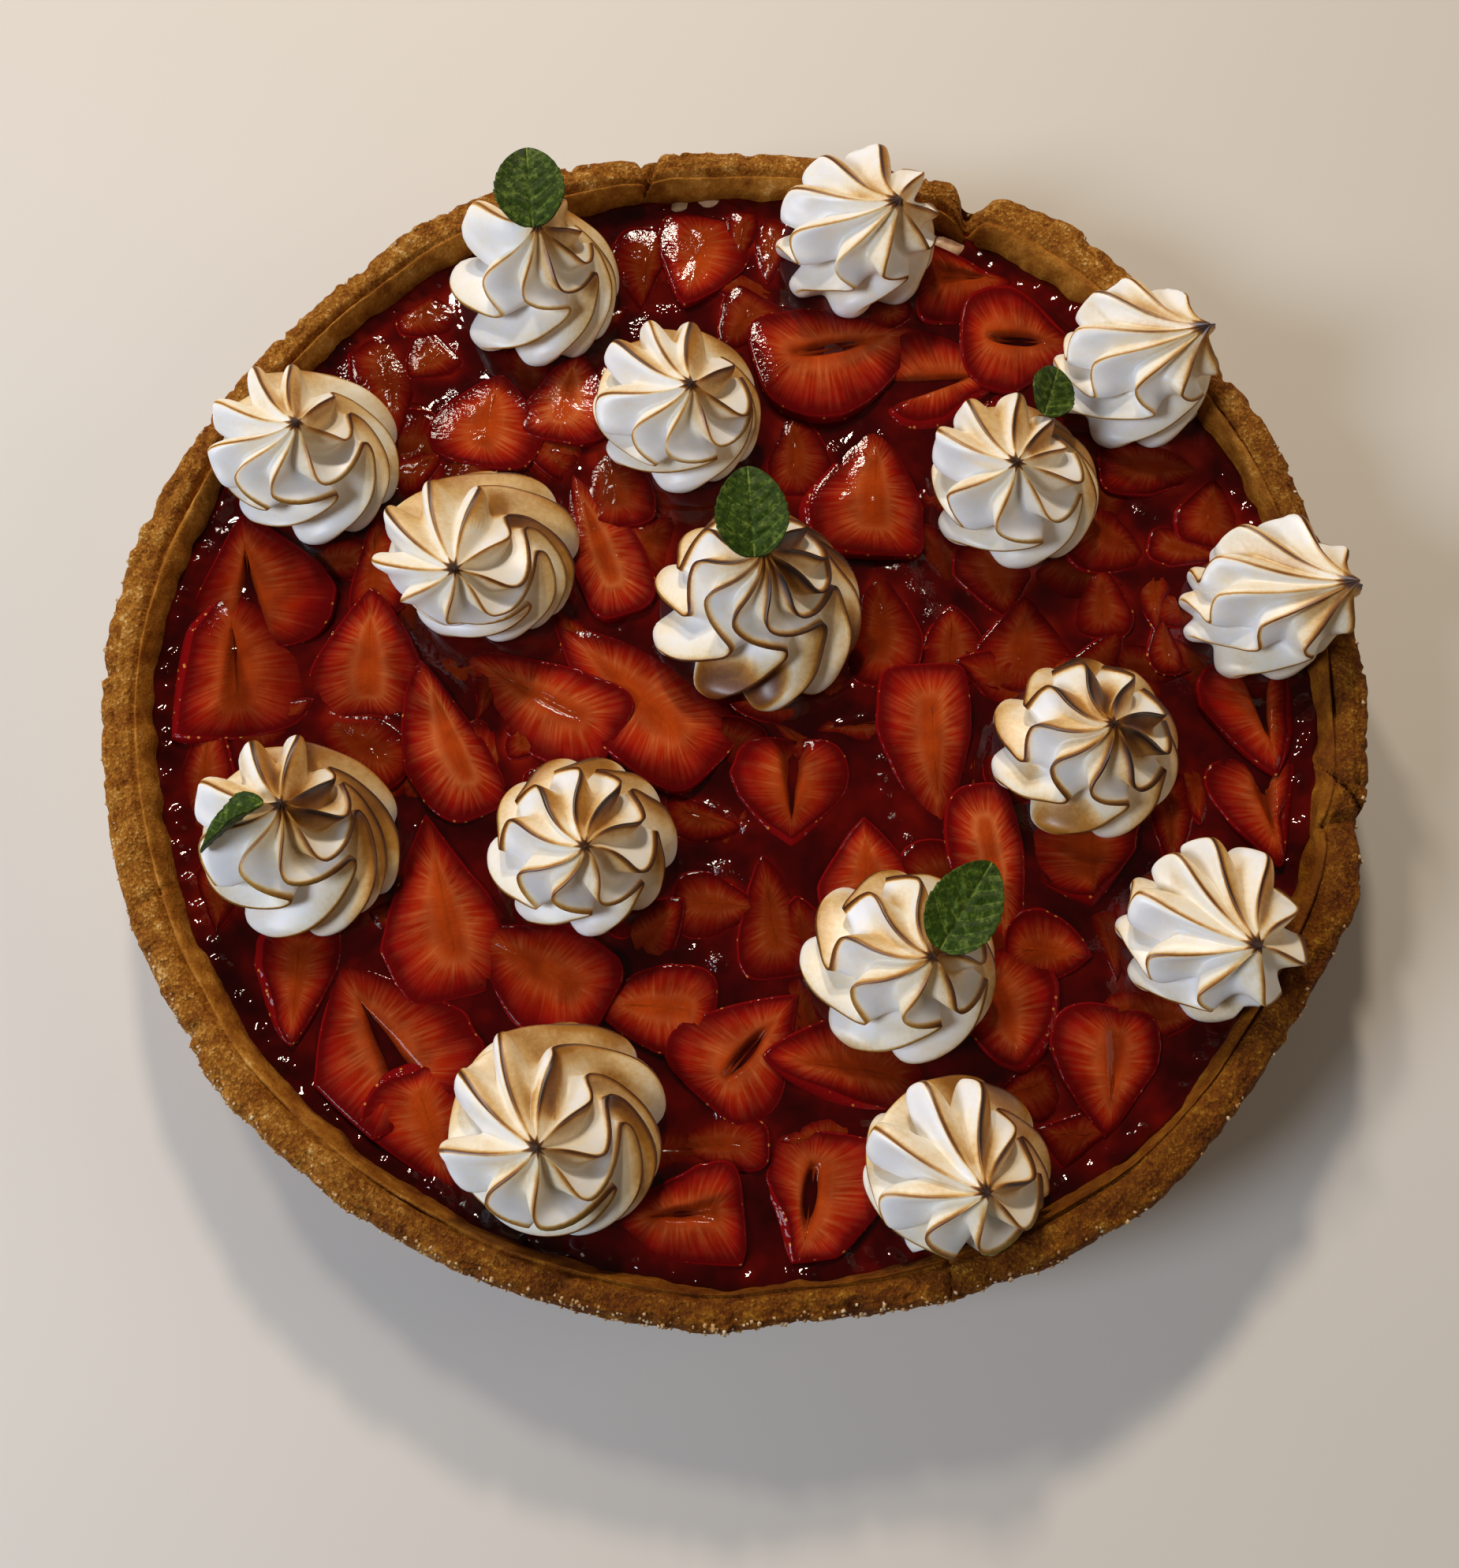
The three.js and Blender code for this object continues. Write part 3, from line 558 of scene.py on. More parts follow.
# more slices lie under the glaze, wherever there is room
bedForm = {
    "count": 70,
    "tries": 4000,
    "apart": 8.0,            # least distance between two middles
    "reach": 112,            # radius that their middles stay within
    "top": 27.35,
    "spread": 0.25,          # how far their tops lie above or below that
    "around": 28,
    "rings": 5,
    "length": (16, 26),
    "width": (0.5, 0.75),    # part of the length
    "tone": 0.25,
}


def sliceAxes(row):
    shoulder = np.array(row[:2], dtype=float)
    tip = np.array(row[2:4], dtype=float)
    length = np.hypot(*(tip - shoulder))
    along = (tip - shoulder) / length
    return shoulder, along, np.array((-along[1], along[0])), length


def sliceHalfWidth(part, width, blunt=2.5, sharp=1.5, lean=0.75):
    # blunt at the shoulder, narrower at the tip
    away = 2 * np.clip(part, 0, 1) ** lean - 1
    bluntness = np.where(away < 0, blunt, sharp)
    return width / 2 * np.clip(1 - np.abs(away) ** bluntness, 0, 1) ** (1 / bluntness)


def berrySurface(row, seed, foot, top, around, rings, grown):
    rng = np.random.default_rng(seed)
    shoulder, along, aside, length = sliceAxes(row)
    width, tone, pale, hollow, gape, skin = row[4:]
    turn = 2 * np.pi * np.arange(around) / around
    u = turn / (2 * np.pi)
    part = 0.5 - 0.5 * np.cos(turn)
    blunt, sharp, lean, fuller = rng.uniform((2.1, 1.15, 0.62, -0.12), (3.4, 1.5, 0.82, 0.12))
    side = sliceHalfWidth(part, width, blunt, sharp, lean) * grown
    side = np.where(turn < np.pi, fuller - 1, 1 + fuller) * side
    bumps = 1 + 0.06 * smoothNoise(rng, u, u * 0, 8, 1, wrap=True)
    side *= bumps + 0.02 * smoothNoise(rng, u, u * 0, 30, 1, wrap=True)
    side += rng.normal(0, 0.05) * length * 4 * part * (1 - part)
    forward = length * (0.5 + (part - 0.5) * grown) * (1 + 0.03 * smoothNoise(rng, u, u * 0, 6, 1, wrap=True))
    outline = shoulder + np.outer(forward, along) + np.outer(side, aside)
    outline *= np.minimum(1, berryForm["wall"] / np.hypot(*outline.T))[:, None]
    # every spoke starts at its own place on the core
    core = shoulder + np.outer(length * (0.24 + 0.5 * part), along)
    core *= np.minimum(1, (berryForm["wall"] - 3) / np.hypot(*core.T))[:, None]
    spoke = np.hypot(*(outline - core).T)
    tilt = np.clip(rng.normal(0, 0.05, 2), -0.08, 0.08)
    facing = 0.0 if skin is None else np.cos(np.arctan2(*(outline - core).T[::-1]) - math.radians(skin))
    shown = np.clip(facing, 0, 1) ** 1.5
    bevel = (0.45 + 2.2 * shown) / spoke
    fall = 0.5 + 1.5 * shown
    # rows of part of the spoke, height and place: up the skin, round the edge, over the cut
    rows = [(0.90, foot, 1.5), (1.0, top - 2.8, 1.3)]
    for down in np.linspace(1, 0.15, 6):
        rows.append((1 - bevel * (1 - down) ** 1.6, top - 0.05 - fall * down ** 1.6, 1.02 + 0.2 * down))
    for out in np.linspace(1, 0.03, rings):
        rows.append(((1 - bevel) * out, top + 0.5 * (1 - out ** 2), out))
    outs = np.array([r[2] for r in rows])
    share = np.array([np.broadcast_to(r[0], around) for r in rows])
    z = np.array([np.broadcast_to(r[1], around) for r in rows]).copy()
    flat = core[None] + share[:, :, None] * (outline - core)[None]
    offset = flat - core.mean(axis=0)
    uu = np.broadcast_to(u, share.shape)
    vv = np.broadcast_to(outs[:, None] / 1.5, share.shape)
    face = (outs < 1.3)[:, None]
    z += face * (offset @ tilt + 0.12 * smoothNoise(rng, uu, vv, 9, 5, wrap=True)
                 + 0.05 * smoothNoise(rng, uu, vv, 30, 6, wrap=True))
    # an open core: a lens, or a notch that widens to the shoulder
    ahead = offset @ along / length + 0.5
    across = np.abs(offset @ aside)
    lens = np.exp(-(((ahead - 0.45) / 0.22) ** 2 + (across / (0.06 * width)) ** 2) ** 2)
    notch = np.exp(-(across / (0.20 * width * np.clip(0.75 - ahead, 0.02, 1))) ** 4) * (ahead < 0.75)
    cleft = hollow * np.maximum(lens * (1 - gape), notch * gape)
    z -= face * berryForm["cleft"] * cleft
    points = np.concatenate([flat, z[:, :, None]], axis=2).reshape(-1, 3)
    # what leans down lies deeper in the glaze
    sunkTone = np.clip(tone + 0.30 * (offset @ tilt), 0.1, 1.1)
    middle = core.mean(axis=0)
    points = np.vstack([points, [[*middle, foot]], [[*middle, z[-1].mean()]]])
    count = len(points)
    steps = np.hypot(*(outline - np.roll(outline, 1, axis=0)).T)
    way = 2 * np.pi * np.cumsum(steps) / steps.sum()
    size = steps.sum() / (2 * np.pi)
    floats = {
        "out": np.append(np.repeat(outs, around), [1.5, 0]),
        "spokeX": np.append(np.tile(size * np.cos(way), len(rows)), [0, 0]),
        "spokeY": np.append(np.tile(size * np.sin(way), len(rows)), [0, 0]),
        "cleft": np.append(cleft.ravel(), [0, hollow]), "seed": np.full(count, seed * 1.37),
        "tone": np.append(sunkTone.ravel(), [tone, tone]), "pale": np.full(count, pale),
    }
    return points, ringFaces(len(rows), around), floats


def bedRows():
    # slices thrown in at random, kept where no other slice has its middle
    rng = np.random.default_rng(21)
    taken = [((r[0] + r[2]) / 2, (r[1] + r[3]) / 2, 0.36 * (r[4] + 8)) for r in berrySlices + sunkSlices]
    rows = []
    for trial in range(bedForm["tries"]):
        if len(rows) == bedForm["count"]:
            break
        away = bedForm["reach"] * math.sqrt(rng.uniform())
        way = rng.uniform(0, 2 * math.pi)
        x, y = away * math.cos(way), away * math.sin(way)
        if any(math.hypot(x - a, y - b) < c for a, b, c in taken):
            continue
        if any(math.hypot(x - m[0], y - m[1]) < 0.6 * m[2] for m in meringues):
            continue
        length = rng.uniform(*bedForm["length"])
        width = length * rng.uniform(*bedForm["width"])
        heading = rng.uniform(0, 2 * math.pi)
        dx, dy = length / 2 * math.cos(heading), length / 2 * math.sin(heading)
        taken.append((x, y, bedForm["apart"]))
        rows.append((x - dx, y - dy, x + dx, y + dy, width, bedForm["tone"] + rng.uniform(-0.12, 0.2),
                     rng.uniform(0, 0.6), 0.0, 0.0, None))
    return rows


def joined(parts):
    # several surfaces in one mesh
    points, faces, floats = [], [[], [], []], {}
    start = 0
    for some, groups, values in parts:
        points.append(some)
        for group, slot in zip(groups, faces):
            slot.append(group + start)
        for name, value in values.items():
            floats.setdefault(name, []).append(value)
        start += len(some)
    return (np.vstack(points), [np.vstack(f) for f in faces],
            {name: np.concatenate(value) for name, value in floats.items()})


def berryMaterial():
    # ripe fruit, cut and brushed with glaze: wet and bright, with pale threads from the core out
    # to a dark red skin with seeds
    material, tree, output = newMaterial("cut strawberry, wet with glaze")
    value = {}
    for attribute in ("out", "spokeX", "spokeY", "cleft", "seed", "tone", "pale"):
        value[attribute] = addNode(tree, "ShaderNodeAttribute", {"attribute_name": attribute}).outputs["Fac"]
    place = addNode(tree, "ShaderNodeTexCoord").outputs["Object"]
    # fibres from the core to the skin, about 1 mm wide at the skin
    reach = addNode(tree, "ShaderNodeMath", {"operation": "MULTIPLY_ADD", 1: 1.3},
                    {0: value["out"], 2: value["seed"]}).outputs[0]
    spokes = addNode(tree, "ShaderNodeCombineXYZ",
                     links={"X": value["spokeX"], "Y": value["spokeY"], "Z": reach})
    fibre = addNode(tree, "ShaderNodeTexNoise", {"Scale": 0.9, "Detail": 2.5, "Roughness": 0.6},
                    {"Vector": spokes.outputs[0]}).outputs["Fac"]
    cloud = addNode(tree, "ShaderNodeTexNoise", {"Scale": perMetre(7), "Detail": 4.0},
                    {"Vector": place}).outputs["Fac"]
    grain = addNode(tree, "ShaderNodeTexNoise", {"Scale": perMetre(0.9), "Detail": 2.0},
                    {"Vector": place}).outputs["Fac"]
    # from the core out to the skin, with an uneven border
    border = addNode(tree, "ShaderNodeMath", {"operation": "MULTIPLY_ADD", 1: 0.22},
                     {0: cloud, 2: value["out"]}).outputs[0]
    flesh = colourRamp(tree, border, [
        (0.10, "#b04210"), (0.40, "#ac380c"), (0.62, "#a42408"), (0.82, "#8e120c"), (1.02, "#600709")])
    core = colourRamp(tree, border, [
        (0.10, "#000000"), (0.26, "#404040"), (0.40, "#b0b0b0"), (0.56, "#202020"), (0.8, "#000000")])
    thread = colourRamp(tree, fibre, [(0.42, "#000000"), (0.70, "#f0f0f0")])
    fade = colourRamp(tree, value["out"], [
        (0.12, "#202020"), (0.34, "#ffffff"), (0.66, "#909090"), (0.96, "#101010")])
    threads = addNode(tree, "ShaderNodeMath", {"operation": "MULTIPLY"}, {0: thread, 1: fade}).outputs[0]
    strength = addNode(tree, "ShaderNodeMath", {"operation": "MULTIPLY_ADD", 1: 0.5, 2: 0.35},
                       {0: value["pale"]}).outputs[0]
    threads = addNode(tree, "ShaderNodeMath", {"operation": "MULTIPLY"}, {0: threads, 1: strength}).outputs[0]
    ring = addNode(tree, "ShaderNodeMath", {"operation": "MULTIPLY"}, {0: core, 1: value["pale"]}).outputs[0]
    lines = addNode(tree, "ShaderNodeMath", {"operation": "MAXIMUM"}, {0: threads, 1: ring}).outputs[0]
    colour = addNode(tree, "ShaderNodeMix", {"data_type": "RGBA", "B": linear("#dd8448")},
                     {"Factor": lines, "A": flesh}).outputs["Result"]
    # deeper places look darker and redder through the glaze
    dark = addNode(tree, "ShaderNodeMath", {"operation": "SUBTRACT", 0: 1.0, "use_clamp": True},
                   {1: value["tone"]}).outputs[0]
    colour = addNode(tree, "ShaderNodeMix", {"data_type": "RGBA", "B": linear("#2a0201")},
                     {"Factor": dark, "A": colour}).outputs["Result"]
    patch = colourRamp(tree, cloud, [(0.40, "#000000"), (0.62, "#a0a0a0")])
    colour = addNode(tree, "ShaderNodeMix", {"data_type": "RGBA", "B": linear("#520502")},
                     {"Factor": patch, "A": colour}).outputs["Result"]
    colour = addNode(tree, "ShaderNodeMix", {"data_type": "RGBA", "B": linear("#2c0302")},
                     {"Factor": value["cleft"], "A": colour}).outputs["Result"]
    # skin with seeds, about 2 mm apart
    pips = addNode(tree, "ShaderNodeTexVoronoi", {"Scale": perMetre(2.1)},
                   {"Vector": place}).outputs["Distance"]
    pip = colourRamp(tree, pips, [(0.10, "#c4803c"), (0.20, "#740a0b")])
    isSkin = colourRamp(tree, value["out"], [(0.99, "#000000"), (1.0, "#ffffff")])
    colour = addNode(tree, "ShaderNodeMix", {"data_type": "RGBA"},
                     {"Factor": isSkin, "A": colour, "B": pip}).outputs["Result"]
    # the film of glaze beads up between the seeds
    rough = addNode(tree, "ShaderNodeMath", {"operation": "ADD"}, {0: fibre, 1: grain}).outputs[0]
    bump = addNode(tree, "ShaderNodeBump", {"Strength": 0.35, "Distance": 0.0004}, {"Height": rough})
    beaded = addNode(tree, "ShaderNodeMath", {"operation": "MULTIPLY"}, {0: pips, 1: isSkin}).outputs[0]
    beaded = addNode(tree, "ShaderNodeMath", {"operation": "MULTIPLY_ADD", 1: -5.0},
                     {0: beaded, 2: grain}).outputs[0]
    film = addNode(tree, "ShaderNodeBump", {"Strength": 0.2, "Distance": 0.0003}, {"Height": beaded})
    shader = addNode(tree, "ShaderNodeBsdfPrincipled", {
        "Roughness": 0.6, "Specular IOR Level": 0.0, "Coat Weight": 0.20, "Coat Roughness": 0.05,
    }, {"Base Color": colour, "Normal": bump.outputs["Normal"], "Coat Normal": film.outputs["Normal"]})
    tree.links.new(shader.outputs[0], output.inputs[0])
    return material


# meringue: x, y, radius, height, middle of the upper tier x, y, peak x, y, size of the upper
# tier, kink below it, how much the kink grows towards the front, sweep to the foot, then the
# directions of the ridges
meringues = [
    (-53, 99.5, 22, 27, 1, -1, 3, 1, 0.62, 40, 0.8, 95, (150, 115, 80, 40, 0, -45, -90, -140)),
    (25, 115.5, 21, 26, 4, -3, 9, -4, 0.80, 30, 0.4, 45, (170, 135, 100, 60, 20, -25, -75, -115, -155)),
    (91.5, 79.5, 19.5, 27, 5, 0, 12.5, 0, 0.75, 35, 0.6, 80, (178, 150, 125, 85, 40, -20, -70, -115, -155)),
    (-16.5, 66, 21.5, 25, 3, -5, 4, -5, 0.68, 45, 0.9, 105, (150, 127, 105, 57, -5, -55, -105, -140, -172)),
    (-101.5, 50, 22.5, 26, -2, -4, 2.5, -3, 0.62, 45, 0.9, 110,
     (160, 130, 108, 65, 14, -45, -95, -135, -165)),
    (-58.4, 27, 23, 25, -4, -11, -3.1, -14, 0.66, 50, 0.9, 112, (152, 125, 95, 50, -5, -45, -90, -140, -175)),
    (3.5, 15.5, 25.5, 29, 1, 2, 1, 3, 0.58, 58, 0.30, 62,
     (165, 135, 105, 72, 40, 5, -30, -62, -95, -130, -165)),
    (63, 49, 21, 25, -2, -4, -3, -5, 0.72, 38, 0.7, 90, (160, 130, 100, 72, 45, 5, -45, -100, -150)),
    (118, 20, 18.5, 26, 7, -1, 14.5, -2.5, 0.80, 25, 0.4, 45, (170, 140, 105, 60, 10, -40, -90, -130, -165)),
    (77.5, -15, 22, 25, 1, -1, 1.5, -1.5, 0.66, 44, 0.3, 58, (160, 125, 85, 45, 5, -40, -80, -120, -160)),
    (-92.5, -43, 23, 25, -1, 0, 0.5, 2.5, 0.60, 50, 0.8, 110, (165, 130, 100, 60, 15, -35, -80, -125, -160)),
    (-32.5, -41.5, 21.5, 25, 1, -3, 3, -6, 0.68, 44, 0.3, 60, (155, 120, 85, 45, 0, -45, -90, -130, -172)),
    (36, -65, 22, 25, 2, -1, 5, -2.5, 0.66, 46, 0.3, 75, (150, 110, 65, 20, -30, -80, -130, -170)),
    (101.5, -56, 20, 25, 3, -4, 4.5, -7, 0.78, 28, 0.4, 50, (165, 135, 110, 80, 40, -10, -65, -120, -160)),
    (-33, -101, 23.5, 25, -3, -7, -2, -6, 0.62, 45, 0.9, 112, (150, 125, 95, 55, 10, -35, -80, -130, -172)),
    (48, -107, 20.5, 25, 1, -4, 3, -5.5, 0.66, 40, 0.7, 90, (160, 130, 95, 60, 20, -30, -80, -125, -165)),
]
# how far the torch went: crest lines, gold beside them, gold at the foot
toasting = [
    (0.75, 0.55, 0.10), (0.80, 0.45, 0.15), (0.70, 0.40, 0.05), (0.90, 0.60, 0.00), (0.80, 0.50, 0.05),
    (0.90, 0.68, 0.05), (1.50, 0.90, 1.25), (0.95, 0.60, 0.20), (0.85, 0.50, 0.20), (1.25, 0.95, 0.80),
    (1.00, 0.75, 0.25), (1.00, 0.65, 0.25), (1.00, 0.75, 0.40), (0.95, 0.55, 0.30), (1.00, 0.75, 0.10),
    (0.95, 0.70, 0.15),
]
piping = {
    "foot": 27.0,
    "wall": 129.5,        # the foot stays inside the crust
    "rimClear": 36.6,     # above this a meringue may lie over the rim
    "reach": 137.0,
    "side": -75.0,        # direction in which the kink grows
    "crownSide": 140.0,   # direction in which the upper tier reaches out furthest
    "twist": 14.0,
    # place from foot to peak, part of the tier's size, part of the foot's size, height,
    # part of the twist, part of the kink, part of the sweep, depth of the valleys
    "keys": [
        (0.00, 0.00, 0.80, 0.00, 1, 1, 1.00, 0.18), (0.05, 0.00, 0.89, 0.04, 1, 1, 0.985, 0.22),
        (0.12, 0.00, 0.96, 0.10, 1, 1, 0.95, 0.25), (0.21, 0.00, 1.00, 0.19, 1, 1, 0.87, 0.28),
        (0.29, 0.05, 0.94, 0.27, 1, 1, 0.76, 0.30), (0.37, 0.22, 0.75, 0.34, 1, 1, 0.58, 0.32),
        (0.45, 0.45, 0.50, 0.40, 1, 1, 0.36, 0.33), (0.53, 0.66, 0.31, 0.455, 1, 0.97, 0.15, 0.34),
        (0.60, 0.80, 0.19, 0.505, 1, 0.84, 0.03, 0.35), (0.66, 0.92, 0.09, 0.55, 1, 0.60, 0.0, 0.36),
        (0.71, 0.98, 0.03, 0.60, 1, 0.34, 0.0, 0.38), (0.76, 0.97, 0.00, 0.66, 0.95, 0.14, 0.0, 0.42),
        (0.81, 0.85, 0.00, 0.715, 0.8, 0.04, 0.0, 0.48), (0.86, 0.66, 0.00, 0.77, 0.55, 0, 0, 0.53),
        (0.91, 0.42, 0.00, 0.83, 0.30, 0, 0, 0.56), (0.96, 0.18, 0.00, 0.91, 0.10, 0, 0, 0.55),
        (1.00, 0.02, 0.00, 1.00, 0, 0, 0, 0.35),
    ],
    "rows": 60,
    "perRidge": 18,
    "torch": 60.0,        # direction that the flame came from
    "skirtSide": -80.0,   # direction in which the foot is browned too
    "gold": 3.9,          # width of the gold beside a crest
}


def meringueSurface(index, row):
    x, y, radius, height, tierX, tierY, peakX, peakY, cap, kink, growth, sweep, directions = row
    rng = np.random.default_rng(40 + index)
    places = np.linspace(0, 1, piping["rows"])
    tierShare, footShare, high, twisted, kinked, swept, depth = curveThrough(piping["keys"], places).T
    ridges = len(directions)
    ang = np.array(directions, dtype=float) + rng.normal(0, 1.5, ridges)
    # a kink that is even all round gives hooks all round, without the wide lobes at the back
    hooked = 1.0 if growth < 0.35 else 0.0
    facing = np.cos(np.radians(ang - piping["crownSide"])) * (1 - 0.7 * hooked)
    capOf = np.minimum(1.12, cap * (1 + 0.65 * np.clip(facing, 0, 1))) * (1 + rng.normal(0, 0.03, ridges))
    sweepOf = sweep * (1 - 0.40 * np.clip(facing, 0, 1))
    twist = piping["twist"] * (1 + 1.2 * hooked)
    kinkOf = kink * (1 + growth * np.cos(np.radians(ang - twist - piping["side"])))
    size = (1 + rng.normal(0, 0.03, ridges)) * (1 - 0.06 * np.clip(facing, 0, 1))
    # crest of every ridge at every height
    crestAngle = (ang[None, :] - twist * twisted[:, None] + kinkOf[None, :] * kinked[:, None]
                  - sweepOf[None, :] * swept[:, None])
    crestShare = capOf[None, :] * tierShare[:, None] + size[None, :] * footShare[:, None]
    per = piping["perRidge"]
    step = np.arange(per) / per
    u = step - 0.16 * np.sin(2 * np.pi * step) / (2 * np.pi)
    u = np.tile(u, ridges)
    ridge = np.repeat(np.arange(ridges), per)
    after = (ridge + 1) % ridges
    nextAngle = crestAngle[:, after] - np.where(ridge == ridges - 1, 360, 0)[None, :]
    mix = u * u * (3 - 2 * u)
    angle = np.radians(crestAngle[:, ridge] * (1 - u) + nextAngle * u)
    share = crestShare[:, ridge] * (1 - mix) + crestShare[:, after] * mix
    # narrow folds at the foot, leaning steps on the arms, open hollows on the upper tier
    folds = np.sin(np.pi * u ** 1.3) ** 2.2
    steps = u ** 1.25 * (1 - u) ** 0.75 / 0.36
    hollows = np.sin(np.pi * u)
    lobes = np.sin(np.pi * u) ** 2.4 * 1.15
    facingHere = np.clip(np.cos(np.radians(ang - piping["crownSide"])) + 0.25, 0, 1) * (1 - 0.8 * hooked)
    rounded = (facingHere[ridge] * (1 - u) + facingHere[after] * u)[None, :]
    rounded = rounded * ease(0.93, 0.80, places)[:, None]
    lowPart = ease(0.42, 0.16, places)[:, None]
    highPart = ease(0.62, 0.80, places)[:, None]
    scoop = folds[None, :] * lowPart + hollows[None, :] * highPart
    scoop = scoop + steps[None, :] * (1 - lowPart - highPart)
    scoop = scoop * (1 - rounded) + lobes[None, :] * rounded
    deep = (1 + rng.normal(0, 0.10, ridges))[ridge]
    width = np.abs(crestAngle[:, ridge] - nextAngle) / 40
    r = radius * share * (1 - depth[:, None] * np.clip(width, 0.6, 1.35) * deep * scoop)
    z = piping["foot"] + high * (height + 1.2)
    a = ease(0.20, 0.66, high)
    b = np.clip((high - 0.66) / 0.34, 0, 1)
    centreX = x + tierX * a + (peakX - tierX) * b
    centreY = y + tierY * a + (peakY - tierY) * b
    px = centreX[:, None] + r * np.cos(angle)
    py = centreY[:, None] + r * np.sin(angle)
    # below the peak nothing passes the radius: what would is rounded off
    away = np.hypot(px - x, py - y) + 1e-6
    free, rest = 0.86 * radius, 0.14 * radius
    inside = np.where(away > free, (free + rest * (1 - np.exp((free - away) / rest))) / away, 1)
    inside = inside + (1 - inside) * ease(0.62, 0.74, high)[:, None]
    px = x + (px - x) * inside
    py = y + (py - y) * inside
    v = np.repeat(places[:, None], len(u), axis=1)
    around = np.repeat((np.arange(len(u)) / len(u))[None, :], len(places), axis=0)
    zz = z[:, None] + 0.5 * smoothNoise(rng, around, v, 14, 5, wrap=True) * np.sin(np.pi * v)
    reach = np.where(zz < piping["rimClear"], piping["wall"], piping["reach"])
    pull = np.minimum(1, reach / np.hypot(px, py))
    px, py = px * pull, py * pull
    # torched: a dark line on each crest, gold beside it, strongest towards the flame
    gapWidth = np.radians(np.abs(crestAngle[:, ridge] - nextAngle)) * r
    d0 = u[None, :] * gapWidth
    d1 = (1 - u)[None, :] * gapWidth
    tone = 0.5 + 0.5 * np.cos(np.arctan2(py - y, px - x) - math.radians(piping["torch"]))
    patch = 0.5 + 0.5 * smoothNoise(rng, around, v, 13, 5, wrap=True)
    blush = ease(0.2, 0.8, smoothNoise(rng, around, v, 11, 7, wrap=True)) * (0.25 + 0.75 * tone)
    crests, golden, skirts = toasting[index]
    wide = 0.26 + 0.14 * crests
    line = np.maximum(np.exp(-(d0 / wide) ** 2), np.exp(-(d1 / (0.8 * wide)) ** 2))
    band = np.exp(-(d0 / piping["gold"]) ** 1.5)
    tier = np.clip((places - 0.10) / 0.2, 0, 1) * (1 - 0.6 * ease(0.88, 0.97, places))
    burn = crests * (0.25 + 0.50 * patch + 0.35 * tone) * line
    burn += golden * (0.14 + 0.95 * tone * patch) * band
    burn += golden * (0.32 - 0.12 * hooked) * blush * hollows[None, :]
    burn = tier[:, None] * np.clip(burn, 0, 1)
    low = ease(0.50, 0.38, places)[:, None] * ease(0.02, 0.10, places)[:, None]
    front = ease(-0.2, 0.6, np.cos(np.arctan2(py - y, px - x) - math.radians(piping["skirtSide"])))
    spots = ease(-0.3, 0.4, smoothNoise(rng, around, v, 16, 4, wrap=True))
    burn = np.maximum(burn, skirts * 0.46 * low * front * spots)
    burn[-2:] = 0.85
    points = np.stack([px, py, zz], axis=-1).reshape(-1, 3)
    ends = [[px[0].mean(), py[0].mean(), z[0]], [px[-1].mean(), py[-1].mean(), z[-1] + 0.2]]
    points = np.vstack([points, ends])
    return points, ringFaces(*px.shape), np.concatenate([burn.ravel(), [0, 0.9]])


def meringueMaterial():
    # egg white beaten with hot syrup, piped and torched: white and satin, with light going a
    # little way in, gold to dark brown where the flame met a ridge
    material, tree, output = newMaterial("Italian meringue, piped and torched")
    burn = addNode(tree, "ShaderNodeAttribute", {"attribute_name": "burn"})
    place = addNode(tree, "ShaderNodeTexCoord")
    speckle = addNode(tree, "ShaderNodeTexNoise", {"Scale": perMetre(1.1), "Detail": 3.0, "Roughness": 0.7},
                      {"Vector": place.outputs["Object"]})
    cloud = addNode(tree, "ShaderNodeTexNoise", {"Scale": perMetre(7.7), "Detail": 2.0},
                    {"Vector": place.outputs["Object"]})
    wobble = addNode(tree, "ShaderNodeMath", {"operation": "MULTIPLY_ADD", 1: 0.18},
                     {0: cloud.outputs["Fac"], 2: burn.outputs["Fac"]})
    grain = addNode(tree, "ShaderNodeMath", {"operation": "MULTIPLY_ADD", 1: 0.16},
                    {0: speckle.outputs["Fac"], 2: wobble.outputs[0]})
    level = addNode(tree, "ShaderNodeMath", {"operation": "SUBTRACT", 1: 0.17}, {0: grain.outputs[0]})
    colour = colourRamp(tree, level.outputs[0], [
        (0.00, "#f2f1ef"), (0.10, "#f2e6cc"), (0.22, "#dfbc80"), (0.36, "#b27a2c"),
        (0.56, "#744318"), (0.88, "#2e180b"),
    ])
    shader = addNode(tree, "ShaderNodeBsdfPrincipled", {
        "Roughness": 0.38, "Subsurface Weight": 0.35, "Subsurface Radius": (1.0, 0.85, 0.7),
        "Subsurface Scale": 0.0025,
    }, {"Base Color": colour})
    tree.links.new(shader.outputs[0], output.inputs[0])
    return material


meringueLook = meringueMaterial()
for index, row in enumerate(meringues):
    points, faces, burn = meringueSurface(index, row)
    meshPiece("meringueKiss%02d" % (index + 1), points, faces, meringueLook,
              "meringue_%02d" % (index + 1), "torched_meringue", {"burn": burn})
print("meringues piped")

